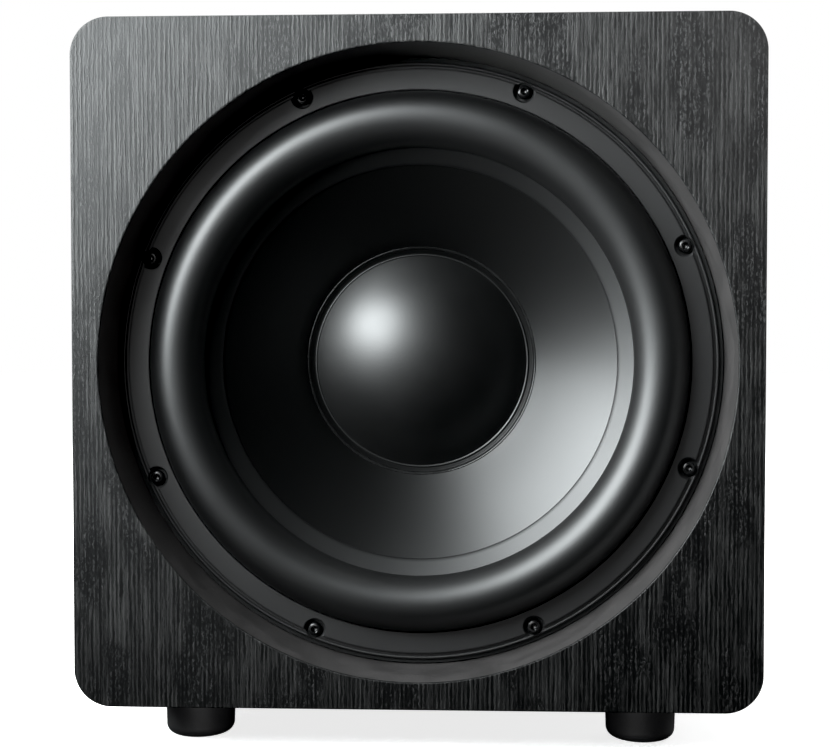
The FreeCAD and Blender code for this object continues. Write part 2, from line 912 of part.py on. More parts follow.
def amp_plate():
    body = amp_body("amp_plate", y="amp_gasket")
    slab = pad(body, rectangle(body, "Face", "XZ_Plane", "amp_side", "amp_side"), "amp_thick")
    rounded(body, slab, "6")
    round_holes = {
        "Volume": ("bushing + 0.2", "volume_across", "knob_height"),
        "Crossover": ("bushing + 0.2", "crossover_across", "knob_height"),
        "JackLeft": ("4.7", "jack_across", "jack_height"),
        "JackRight": ("4.7", "jack_across + jack_pitch", "jack_height"),
        "Fuse": ("6.4", "fuse_across", "fuse_height"),
        "Led": ("2.7", "led_across", "knob_height"),
        "Bolt": ("3.2", "transformer_across", "transformer_height"),
    }
    for name, (radius, x, z) in round_holes.items():
        cut_through(body, circle(body, name, "XZ_Plane", radius, x, z), f"{name}Cut")
    for i, (x, z) in enumerate(amp_screw_places()):
        hole = circle(body, f"Hole{i}", "XZ_Plane", "shank + 0.3", str(x), str(z))
        cut_through(body, hole, f"HoleCut{i}")
    square_holes = {
        "Phase": ("9.4", "4.6", "phase_across", "knob_height"),
        "Rocker": ("14.4", "20.4", "rocker_across", "rocker_height"),
        "Inlet": ("28.4", "20.8", "inlet_across", "inlet_height"),
    }
    for name, (width, height, x, z) in square_holes.items():
        cut_through(body, rectangle(body, name, "XZ_Plane", width, height, x, z), f"{name}Cut")


def amp_screws():
    """Pan-head screws with a cross recess."""
    screw = new_body("amp_screw_pattern", kept=False)
    corners = [
        ("0", "-2.4"),
        ("2.6", "-2.4"),
        ("4", "-1.4"),
        ("4", "0"),
        ("shank", "0"),
        ("shank", "18"),
        ("0", "18"),
    ]
    revolve(screw, outline(screw, "Profile", "XY_Plane", corners))
    for name, width, height in (("Slot", "4", "0.9"), ("Cross", "0.9", "4")):
        slot = rectangle(screw, name, "XZ_Plane", width, height)
        bind(slot, "AttachmentOffset.Base.z", "2.4")
        cut_blind(screw, slot, "1.3", f"{name}Cut")
    turn = FreeCAD.Rotation(Z_UP, 180)
    depth = size(f"{BACK} + {PLATE_BACK}")
    spots = []
    for x, z in amp_screw_places():
        spots.append(FreeCAD.Placement(FreeCAD.Vector(x, depth, size(AXIS) + z), turn))
    copies("amp_screws", screw, spots)


def heatsink():
    """An extruded sink with upright fins."""
    body = amp_body("heatsink", y=f"({PLATE_BACK})")
    middle = "sink_bottom + sink_height / 2"
    pad(body, rectangle(body, "Base", "XZ_Plane", "sink_width", "sink_height", "0", middle), "sink_base")
    outline_of_fin = rectangle(body, "Fin", "XZ_Plane", "fin", "sink_height", "(fin - sink_width) / 2", middle)
    fin = pad(body, outline_of_fin, "sink_depth", "FinPad")
    fins = feature(body, "LinearPattern", "Fins")
    fins.Originals = [fin]
    fins.Direction = (origin_part(body, "X_Axis"), [""])
    fins.Occurrences = int(size("(sink_width - fin) / fin_pitch")) + 1
    bind(fins, "Length", "sink_width - fin")
    body.Tip = fins


def circuit_board():
    body = amp_body("circuit_board", y="board_front")
    pad(body, rectangle(body, "Face", "XZ_Plane", "132", "160", "40", "16"), "1.6")
    for i, (x, z) in enumerate(standoff_places()):
        hole = circle(body, f"Hole{i}", "XZ_Plane", "1.7", str(x), str(z))
        cut_through(body, hole, f"HoleCut{i}")


def standoff_places():
    return [(x, z) for x in (-20, 100) for z in (-58, 90)]


def standoffs():
    """Hexagonal spacers, each with a screw through the board."""
    front = size("board_front")
    solids = []
    for x, z in standoff_places():
        at = FreeCAD.Vector(x, front + 1.6, z)
        corners = [
            at + FreeCAD.Vector(3 * math.cos(math.radians(a)), 0, 3 * math.sin(math.radians(a)))
            for a in range(0, 361, 60)
        ]
        length = size("amp_gasket") - front - 1.6
        spacer = Part.Face(Part.makePolygon(corners)).extrude(FreeCAD.Vector(0, length, 0))
        screw = Part.makeCylinder(1.5, 1.6, FreeCAD.Vector(x, front, z), Y_UP)
        head = Part.makeCylinder(2.8, 2, FreeCAD.Vector(x, front - 2, z), Y_UP)
        solids.append(spacer.fuse([screw, head]))
    made = DOC.addObject("Part::Feature", "board_standoffs")
    made.Shape = Part.makeCompound(solids)
    made.Placement = amp_origin()
    node(made, "board_standoffs")


def output_transistors():
    """Four power devices clamped to the plate under the heatsink, with their legs in the board."""
    board_back = size("board_front") + 1.6
    plate = size("amp_gasket")
    devices = []
    for x in (4, 30, 56, 82):
        case = block((x - 8, plate - 5, 60), (x + 8, plate, 81))
        legs = []
        for step in (-5.4, 0, 5.4):
            legs.append(block((x + step - 0.6, plate - 3, 55), (x + step + 0.6, plate - 2.4, 60)))
            legs.append(block((x + step - 0.6, board_back, 55), (x + step + 0.6, plate - 2.4, 55.6)))
        devices.append(case.fuse(legs))
    made = DOC.addObject("Part::Feature", "output_transistors")
    made.Shape = Part.makeCompound(devices)
    made.Placement = amp_origin()
    node(made, "output_transistors")


def filter_capacitors():
    corners = [("0", "-40"), ("14", "-40"), ("15", "-39"), ("15", "0"), ("0", "0")]
    can = lathe("capacitor_pattern", corners, y="0", z="0", kept=False)
    spots = []
    for x in (5, 40):
        spot = FreeCAD.Vector(x, size(f"{BACK} + board_front"), size(AXIS) + 12)
        spots.append(FreeCAD.Placement(spot, FreeCAD.Rotation()))
    copies("filter_capacitors", can, spots)


def transformer():
    """A toroidal transformer, held by a dished washer and a bolt through its middle."""
    inner, outer = "transformer_bore", "transformer_radius"
    low, high = "amp_gasket - transformer_depth", "amp_gasket"
    edge = 9
    corners = [
        (f"{inner} + {edge}", low),
        (f"{outer} - {edge}", low),
        (outer, f"{low} + {edge}"),
        (outer, f"{high} - {edge}"),
        (f"{outer} - {edge}", high),
        (f"{inner} + {edge}", high),
        (inner, f"{high} - {edge}"),
        (inner, f"{low} + {edge}"),
    ]
    arcs = {
        1: (f"{outer} - {edge}", f"{low} + {edge}", "x", False),
        3: (f"{outer} - {edge}", f"{high} - {edge}", "y", False),
        5: (f"{inner} + {edge}", f"{high} - {edge}", "x", False),
        7: (f"{inner} + {edge}", f"{low} + {edge}", "y", False),
    }
    amp_lathe("transformer", corners, "transformer_across", "transformer_height", arcs=arcs)
    top = "amp_gasket - transformer_depth"
    bolt = [
        ("0", f"{top} - 7"),
        ("5", f"{top} - 7"),
        ("5", f"{top} - 3"),
        ("22", f"{top} - 1.5"),
        ("22", top),
        ("3", top),
        ("3", "amp_gasket + 2"),
        ("0", "amp_gasket + 2"),
    ]
    amp_lathe("transformer_bolt", bolt, "transformer_across", "transformer_height")


def control(name, across):
    """A potentiometer with its shaft and knob."""
    pot = [
        ("0", "-9"),
        ("8.5", "-9"),
        ("8.5", "amp_gasket"),
        ("bushing", "amp_gasket"),
        ("bushing", "8.5"),
        ("shaft + 0.06", "8.5"),
        ("shaft + 0.06", "-7"),
        ("0", "-7"),
    ]
    amp_lathe(f"{name}_pot", pot, across, "knob_height")
    shaft = [("0", "-6.8"), ("shaft", "-6.8"), ("shaft", "16"), ("0", "16")]
    amp_lathe(f"{name}_shaft", shaft, across, "knob_height")
    knob = [
        ("shaft + 0.05", "9.5"),
        ("6.8", "9.5"),
        ("6.8", "5"),
        ("knob_radius", "5"),
        ("knob_radius - 0.6", "rear_reach - 0.8"),
        ("knob_radius - 1.4", "rear_reach"),
        ("0", "rear_reach"),
        ("0", "16.1"),
        ("shaft + 0.05", "16.1"),
    ]
    body = amp_lathe(f"{name}_knob", knob, across, "knob_height")
    pointer = rectangle(body, "Pointer", "XZ_Plane", "1.2", "6", "0", "knob_radius - 4")
    bind(pointer, "AttachmentOffset.Base.z", "-rear_reach")
    notch = cut_blind(body, pointer, "0.5", "PointerCut")
    notch.Reversed = True


def pot_nuts():
    flats = 5.5
    radius = flats / math.cos(math.radians(30))
    back = size(PLATE_BACK)
    nuts = []
    for across in ("volume_across", "crossover_across"):
        at = FreeCAD.Vector(size(across), back, size("knob_height"))
        corners = [
            at + FreeCAD.Vector(radius * math.cos(math.radians(a)), 0, radius * math.sin(math.radians(a)))
            for a in range(0, 361, 60)
        ]
        nut = Part.Face(Part.makePolygon(corners)).extrude(FreeCAD.Vector(0, 2, 0))
        nuts.append(nut.cut(Part.makeCylinder(size("bushing") + 0.1, 2, at, Y_UP)))
    made = DOC.addObject("Part::Feature", "pot_nuts")
    made.Shape = Part.makeCompound(nuts)
    made.Placement = amp_origin()
    node(made, "pot_nuts")


def phase_switch():
    """A two-position slide switch behind a slot, and its slider at the left end."""
    x, z, plate = size("phase_across"), size("knob_height"), size("amp_gasket")
    case = block((x - 9, plate - 8, z - 4), (x + 9, plate, z + 4))
    well = block((x - 4.6, plate - 2.2, z - 2.2), (x + 4.6, plate, z + 2.2))
    joined("phase_switch", [case.cut(well)], amp_origin())
    slider = block((x - 4.2, plate - 2, z - 1.9), (x - 0.2, plate + 6, z + 1.9))
    joined("phase_slider", [slider], amp_origin())


def rca_jacks():
    """Two line inputs: an insulated collar, a plated shell and a hollow centre contact."""
    back = size(PLATE_BACK)
    corners = [
        ("0", "-10"),
        ("4.5", "-10"),
        ("4.5", str(back)),
        ("6.6", str(back)),
        ("6.6", str(back + 1.4)),
        ("4.15", str(back + 1.4)),
        ("4.15", str(back + 10)),
        ("3.7", str(back + 10)),
        ("3.7", str(back + 9)),
        ("1.6", str(back + 9)),
        ("1.6", str(back)),
        ("0", str(back)),
    ]
    jack = lathe("rca_jack_pattern", corners, y="0", z="0", kept=False)
    spots = []
    for step in (0, size("jack_pitch")):
        spot = FreeCAD.Vector(size("jack_across") + step, size(BACK), size(AXIS) + size("jack_height"))
        spots.append(FreeCAD.Placement(spot, FreeCAD.Rotation()))
    copies("rca_jacks", jack, spots)


def power_switch():
    """A rocker in a snap-in housing; the rocker rests tilted, with its upper half pressed."""
    x, z, back = size("rocker_across"), size("rocker_height"), size(PLATE_BACK)
    case = block((x - 7, -16, z - 10), (x + 7, back, z + 10))
    bezel = block((x - 8.5, back, z - 12), (x + 8.5, back + 1.6, z + 12))
    well = block((x - 5.3, -6, z - 9.2), (x + 5.3, back + 1.6, z + 9.2))
    axle = FreeCAD.Vector(x - 6.1, back - 0.4, z)
    bearing = Part.makeCylinder(1.55, 12.2, axle, FreeCAD.Vector(1, 0, 0))
    joined("power_switch", [case.fuse(bezel).removeSplitter().cut([well, bearing])], amp_origin())
    profile = [(4, 0), (3.4, -8.4), (1.8, -8.4), (-4.2, 0), (1.8, 8.4), (3.4, 8.4)]
    corners = [FreeCAD.Vector(-5, depth, up) for depth, up in profile]
    face = Part.Face(Part.makePolygon(corners + corners[:1]))
    pins = Part.makeCylinder(1.5, 12, FreeCAD.Vector(-6, 0, 0), FreeCAD.Vector(1, 0, 0))
    rocker = face.extrude(FreeCAD.Vector(10, 0, 0)).fuse(pins)
    pivot = FreeCAD.Vector(x, size(BACK) + back - 0.4, size(AXIS) + z)
    turn = FreeCAD.Rotation(FreeCAD.Vector(1, 0, 0), ROCKER_TILT)
    joined("power_rocker", [rocker], FreeCAD.Placement(pivot, turn))


def iec_inlet():
    """A three-pin mains inlet with a flange; no cord is in it."""
    x, z, back = size("inlet_across"), size("inlet_height"), size(PLATE_BACK)
    case = block((x - 14, -20, z - 10.2), (x + 14, back, z + 10.2))
    flange = block((x - 17, back, z - 13), (x + 17, back + 2, z + 13))
    corners = [(-12.3, -8.5), (12.3, -8.5), (12.3, 4.5), (8.3, 8.5), (-8.3, 8.5), (-12.3, 4.5)]
    rim = [FreeCAD.Vector(x + a, -10, z + b) for a, b in corners]
    cavity = Part.Face(Part.makePolygon(rim + rim[:1])).extrude(FreeCAD.Vector(0, 10 + back + 2, 0))
    shell = case.fuse(flange).removeSplitter().cut(cavity)
    pins = []
    for across, up in ((-7, 0), (0, 2.6), (7, 0)):
        pins.append(block((x + across - 1, -24, z + up - 2), (x + across + 1, back - 0.5, z + up + 2)))
    joined("iec_inlet", [shell] + pins, amp_origin())


def fuse_holder():
    back = size(PLATE_BACK)
    corners = [
        ("0", "-24"),
        ("6.2", "-24"),
        ("6.2", str(back)),
        ("8", str(back)),
        ("8", str(back + 1.5)),
        ("6.6", str(back + 1.5)),
        ("6.2", str(back + 8)),
        ("0", str(back + 8)),
    ]
    amp_lathe("fuse_holder", corners, "fuse_across", "fuse_height")


def status_led():
    back = size(PLATE_BACK)
    corners = [("0", "-2"), ("2.5", "-2"), ("2.5", str(back + 1)), ("0", str(back + 3.5))]
    arcs = {2: ("0", str(back + 1), "x", False)}
    amp_lathe("status_led", corners, "led_across", "knob_height", arcs=arcs)


def build_all():
    front_baffle()
    mounting_baffle()
    wall_panels()
    corner_posts()
    rear_panel()
    brace()
    damping_lining()
    feet()
    foot_screws()
    baffle_gasket()
    basket()
    trim_ring()
    driver_screws()
    tee_nuts()
    surround()
    cone()
    dust_cap()
    coil_and_former()
    spider()
    motor()
    terminal_block()
    tinsel_leads()
    speaker_leads()
    amp_gasket()
    amp_plate()
    amp_screws()
    heatsink()
    circuit_board()
    standoffs()
    output_transistors()
    filter_capacitors()
    transformer()
    for name in ("volume", "crossover"):
        control(name, f"{name}_across")
    pot_nuts()
    phase_switch()
    rca_jacks()
    power_switch()
    iec_inlet()
    fuse_holder()
    status_led()


def check_and_write():
    DOC.recompute()
    bad = [o.Name for o in DOC.Objects if {"Invalid", "Error"} & set(o.State)]
    bad += [o.Label for o in NODES if o.Shape.isNull() or not o.Shape.isValid()]
    if bad:
        raise SystemExit(f"failed objects: {bad}")
    os.makedirs("parts", exist_ok=True)
    for obj in NODES:
        obj.Shape.exportStep(f"parts/{obj.Label}.step")
        box_mm = obj.Shape.BoundBox
        print(f"{obj.Label:26s} solids {len(obj.Shape.Solids):2d}  volume {obj.Shape.Volume / 1000:9.2f} cm3"
              f"  x {box_mm.XMin:7.1f} {box_mm.XMax:7.1f}  y {box_mm.YMin:7.1f} {box_mm.YMax:7.1f}"
              f"  z {box_mm.ZMin:6.1f} {box_mm.ZMax:6.1f}")
    print(len(NODES), "nodes")


build_all()
check_and_write()
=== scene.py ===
"""The looks of the powered subwoofer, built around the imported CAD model. Metres; +Z up; front faces -Y."""

import json
import math

import bmesh
import bpy
import numpy as np
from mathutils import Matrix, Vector


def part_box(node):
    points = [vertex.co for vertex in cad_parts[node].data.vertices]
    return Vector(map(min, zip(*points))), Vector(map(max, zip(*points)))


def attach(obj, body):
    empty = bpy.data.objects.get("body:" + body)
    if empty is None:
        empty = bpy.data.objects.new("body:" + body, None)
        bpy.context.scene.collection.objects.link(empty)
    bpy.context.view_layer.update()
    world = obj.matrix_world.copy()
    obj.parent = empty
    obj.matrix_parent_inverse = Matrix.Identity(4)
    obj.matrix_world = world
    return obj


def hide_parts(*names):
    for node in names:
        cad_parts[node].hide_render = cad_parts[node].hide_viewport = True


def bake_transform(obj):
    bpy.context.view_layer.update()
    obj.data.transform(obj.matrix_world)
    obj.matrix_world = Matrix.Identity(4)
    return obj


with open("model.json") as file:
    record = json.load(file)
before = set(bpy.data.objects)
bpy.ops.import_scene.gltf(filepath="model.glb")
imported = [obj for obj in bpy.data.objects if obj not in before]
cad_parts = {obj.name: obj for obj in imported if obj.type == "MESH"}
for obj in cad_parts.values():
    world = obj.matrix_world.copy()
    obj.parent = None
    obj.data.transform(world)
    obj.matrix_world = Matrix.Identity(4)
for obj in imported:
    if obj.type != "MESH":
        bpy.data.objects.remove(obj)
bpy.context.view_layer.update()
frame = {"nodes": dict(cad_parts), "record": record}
NODES = frame["nodes"]

MM = 0.001
SEGMENTS = 360
LONG_EDGE = 19 * MM  # the radius of the cabinet's four rounded edges

# Places read from the CAD

BAFFLE_LOW, BAFFLE_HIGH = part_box("front_baffle")
FRONT_Y = BAFFLE_LOW.y
RECESS_Y = BAFFLE_HIGH.y
AXIS_Z = (BAFFLE_LOW.z + BAFFLE_HIGH.z) / 2
HALF_WIDTH = BAFFLE_HIGH.x
HALF_HEIGHT = (BAFFLE_HIGH.z - BAFFLE_LOW.z) / 2
PANEL_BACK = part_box("rear_panel")[1].y
PLATE_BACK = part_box("amp_plate")[1].y


# Materials


class Nodes:
    """A material, with methods that add shader nodes to it, link them and return what they put out."""

    def __init__(self, name):
        self.material = bpy.data.materials.new(name)
        self.material.use_nodes = True
        self.tree = self.material.node_tree
        self.shader = self.tree.nodes["Principled BSDF"]
        self.coords = self.tree.nodes.new("ShaderNodeTexCoord")

    def new(self, kind):
        return self.tree.nodes.new(kind)

    def set(self, node, name, value):
        """Sets an input, found by its name or as i and its number, to a value or to another node's output."""
        socket = node.inputs[int(name[1:])] if name[0] == "i" and name[1:].isdigit() else node.inputs[name]
        if isinstance(value, bpy.types.NodeSocket):
            self.tree.links.new(value, socket)
        else:
            socket.default_value = value

    def split(self, vector=None):
        """The X, Y and Z of a vector, or of the place on the object."""
        made = self.new("ShaderNodeSeparateXYZ")
        self.set(made, "Vector", vector or self.coords.outputs["Object"])
        return made.outputs

    def math(self, operation, a, b=0.0, c=0.0):
        made = self.new("ShaderNodeMath")
        made.operation = operation
        for index, value in enumerate((a, b, c)):
            self.set(made, f"i{index}", value)
        return made.outputs[0]

    def mix(self, factor, a, b):
        """A number between a and b."""
        made = self.new("ShaderNodeMix")
        for index, value in ((0, factor), (2, a), (3, b)):
            self.set(made, f"i{index}", value)
        return made.outputs[0]

    def mix_color(self, factor, dark, light):
        """A colour between two colours, each three numbers."""
        made = self.new("ShaderNodeMix")
        made.data_type = "RGBA"
        for index, value in ((0, factor), (6, (*dark, 1.0)), (7, (*light, 1.0))):
            self.set(made, f"i{index}", value)
        return made.outputs[2]

    def vector(self, operation, a, b=None, scale=None):
        made = self.new("ShaderNodeVectorMath")
        made.operation = operation
        self.set(made, "i0", a)
        if b is not None:
            self.set(made, "i1", b)
        if scale is not None:
            made.inputs["Scale"].default_value = scale
        return made.outputs["Vector"]

    def stretched(self, scale, vector=None):
        """The place on the object, or another vector, scaled along each axis."""
        made = self.new("ShaderNodeMapping")
        self.set(made, "Vector", vector or self.coords.outputs["Object"])
        made.inputs["Scale"].default_value = scale
        return made.outputs[0]

    def noise(self, scale, detail=3.0, rough=0.55, vector=None):
        made = self.new("ShaderNodeTexNoise")
        self.set(made, "Vector", vector or self.coords.outputs["Object"])
        made.inputs["Scale"].default_value = scale
        made.inputs["Detail"].default_value = detail
        made.inputs["Roughness"].default_value = rough
        return made.outputs["Fac"]

    def ramp(self, value, low, high, to_low=0.0, to_high=1.0):
        """A smooth step from one number to another while the value goes from low to high."""
        made = self.new("ShaderNodeMapRange")
        made.interpolation_type = "SMOOTHSTEP"
        for name, number in (("Value", value), ("From Min", low), ("From Max", high),
                             ("To Min", to_low), ("To Max", to_high)):
            self.set(made, name, number)
        return made.outputs[0]

    def bump(self, height, distance):
        made = self.new("ShaderNodeBump")
        self.set(made, "Height", height)
        made.inputs["Distance"].default_value = distance
        made.inputs["Strength"].default_value = 1.0
        return made.outputs[0]

    def finish(self, color, rough, normal=None, metallic=0.0, specular=0.5, **others):
        """Fills in the shader; others are further inputs, with _ for each space in their names."""
        self.set(self.shader, "Base Color", color)
        self.set(self.shader, "Roughness", rough)
        self.set(self.shader, "Metallic", metallic)
        self.set(self.shader, "Specular IOR Level", specular)
        for name, value in others.items():
            self.set(self.shader, name.replace("_", " "), value)
        if normal is not None:
            self.set(self.shader, "Normal", normal)
        return self.material


def vinyl():
    """Black wood-grain vinyl: broken ridges that run up the faces and across the top.

    The ridges are close rows with finer streaks and threads between them. Knots, patches and bare strips
    break them up, and the relief also sets the tone and the gloss.
    """
    m = Nodes("black_ash_vinyl")
    lying = m.ramp(m.math("ABSOLUTE", m.split(m.coords.outputs["Normal"])["Z"]), 0.45, 0.75)
    sway = m.new("ShaderNodeTexNoise")
    m.set(sway, "Vector", m.stretched((1, 1, 0.35)))
    sway.inputs["Scale"].default_value = 70
    sway.inputs["Detail"].default_value = 3.0
    centred = m.vector("SUBTRACT", sway.outputs["Color"], (0.5, 0.5, 0.5))
    place = m.vector("ADD", m.coords.outputs["Object"], m.vector("SCALE", centred, scale=0.0009))

    def grain(scale, stretch, detail=2.0, rough=0.5):
        """Noise drawn out along the grain: up on the faces, across on the top."""
        up = m.noise(scale, detail, rough, m.stretched((1, 1, stretch), place))
        across = m.noise(scale, detail, rough, m.stretched((stretch, 1, 1), place))
        return m.mix(lying, up, across)

    row_pitch = 2.2 * MM
    parts = m.split(place)
    across = m.math("MULTIPLY_ADD", parts["X"], m.math("SUBTRACT", 1.0, lying), parts["Y"])
    drift = m.math("MULTIPLY", grain(30, 0.12, 1.0), 9.0)
    jitter = m.math("MULTIPLY", grain(650, 0.5, 3.0, 0.6), 6.0)
    turns = m.math("MULTIPLY_ADD", across, 2 * math.pi / row_pitch, m.math("ADD", drift, jitter))
    rows = m.ramp(m.math("SINE", turns), -0.1, 0.9)
    streaks = m.ramp(grain(900, 0.045), 0.50, 0.58)
    threads = m.ramp(grain(1900, 0.06), 0.48, 0.60)
    knots = m.ramp(grain(1150, 0.4, 3.0, 0.6), 0.49, 0.57)
    strips = m.ramp(grain(160, 0.22, 4.0, 0.65), 0.36, 0.56)
    patches = m.ramp(grain(75, 0.35, 3.0), 0.47, 0.60)
    fibres = m.math("ADD", m.math("MULTIPLY", streaks, 0.34), m.math("MULTIPLY", threads, 0.22))
    lines = m.math("MULTIPLY_ADD", rows, 0.5, fibres)
    gaps = m.math("MULTIPLY", patches, m.math("SUBTRACT", 1.0, knots))
    relief = m.math("MULTIPLY", lines, m.math("MULTIPLY_ADD", gaps, -0.85, 1.0))
    height = m.math("MULTIPLY", relief, m.math("MULTIPLY_ADD", strips, 0.35, 0.65))
    speck = m.noise(1700, 1.0, vector=m.stretched((1, 1, 0.6)))
    color = m.mix_color(height, (0.0004, 0.0005, 0.0006), (0.021, 0.0206, 0.0202))
    skin = m.bump(m.math("MULTIPLY_ADD", speck, 0.35, height), 0.00014)
    return m.finish(color, m.mix(height, 0.44, 0.66), skin, specular=m.mix(height, 0.38, 0.68))


def speckled(name, dark, light, rough, grain=900, depth=0.00002, metallic=0.0, patch=60, **others):
    """A moulded or painted skin: fine grain in the relief and slow drifts in tone and gloss."""
    m = Nodes(name)
    fine = m.noise(grain, 2.0)
    slow = m.noise(patch)
    tone = m.math("ADD", m.math("MULTIPLY", fine, 0.5), m.math("MULTIPLY", slow, 0.5))
    color = m.mix_color(m.ramp(tone, 0.35, 0.65), dark, light)
    return m.finish(color, m.ramp(slow, 0.3, 0.7, *rough), m.bump(fine, depth), metallic, **others)


def turned(name, dark, light, rough):
    """Metal with fine tool marks around the Y axis through the driver."""
    m = Nodes(name)
    place = m.split()
    rise = m.math("SUBTRACT", place["Z"], AXIS_Z)
    radius = m.math("SQRT", m.math("ADD", m.math("MULTIPLY", place["X"], place["X"]),
                                   m.math("MULTIPLY", rise, rise)))
    ring = m.new("ShaderNodeCombineXYZ")
    m.set(ring, "X", radius)
    m.set(ring, "Y", place["Y"])
    marks = m.noise(2600, 2.0, vector=ring.outputs[0])
    color = m.mix_color(m.noise(70), dark, light)
    return m.finish(color, m.ramp(marks, 0.3, 0.7, *rough), m.bump(marks, 0.000008), 1.0)


def brushed(name, dark, light, rough, metallic=1.0):
    """Metal with fine straight scratches that run up it."""
    m = Nodes(name)
    lines = m.noise(1800, vector=m.stretched((1, 1, 0.03)))
    color = m.mix_color(m.math("MULTIPLY", lines, m.noise(80, 2.0)), dark, light)
    return m.finish(color, m.ramp(lines, 0.3, 0.7, *rough), m.bump(lines, 0.00001), metallic)


def woven(name, dark, light, threads):
    """A plain weave seen face on, in the plane across the driver's axis."""
    m = Nodes(name)
    place = m.split()
    warp = m.math("SINE", m.math("MULTIPLY", place["X"], threads))
    weft = m.math("SINE", m.math("MULTIPLY", place["Z"], threads))
    cloth = m.math("ADD", m.math("MULTIPLY", m.math("MULTIPLY", warp, weft), 0.5), 0.5)
    worn = m.ramp(m.noise(90), 0.2, 0.8, 0.6, 1.0)
    return m.finish(m.mix_color(m.math("MULTIPLY", cloth, worn), dark, light), 0.85, m.bump(cloth, 0.00012))


def wound(name, dark, light, pitch, rough, metallic=0.0, axis="Y"):
    """Turns of wire or tape laid side by side along an axis."""
    m = Nodes(name)
    wave = m.math("SINE", m.math("MULTIPLY", m.split()[axis], 2 * math.pi / pitch))
    turns = m.math("ABSOLUTE", wave)
    slow = m.noise(120, 2.0)
    color = m.mix_color(m.math("MULTIPLY", turns, m.ramp(slow, 0.2, 0.8, 0.7, 1.0)), dark, light)
    return m.finish(color, m.ramp(slow, 0.3, 0.7, *rough), m.bump(turns, pitch * 0.3), metallic)


def green_board():
    """Solder mask with pale copper tracks under it."""
    m = Nodes("green_board")
    cells = m.new("ShaderNodeTexVoronoi")
    cells.feature = "DISTANCE_TO_EDGE"
    m.set(cells, "Vector", m.stretched((1, 0.02, 1)))
    cells.inputs["Scale"].default_value = 95
    track = m.ramp(cells.outputs["Distance"], 0.04, 0.07, 1.0, 0.0)
    color = m.mix_color(track, (0.006, 0.075, 0.026), (0.035, 0.19, 0.075))
    return m.finish(color, m.ramp(m.noise(50), 0.3, 0.7, 0.20, 0.32), m.bump(track, 0.00004))


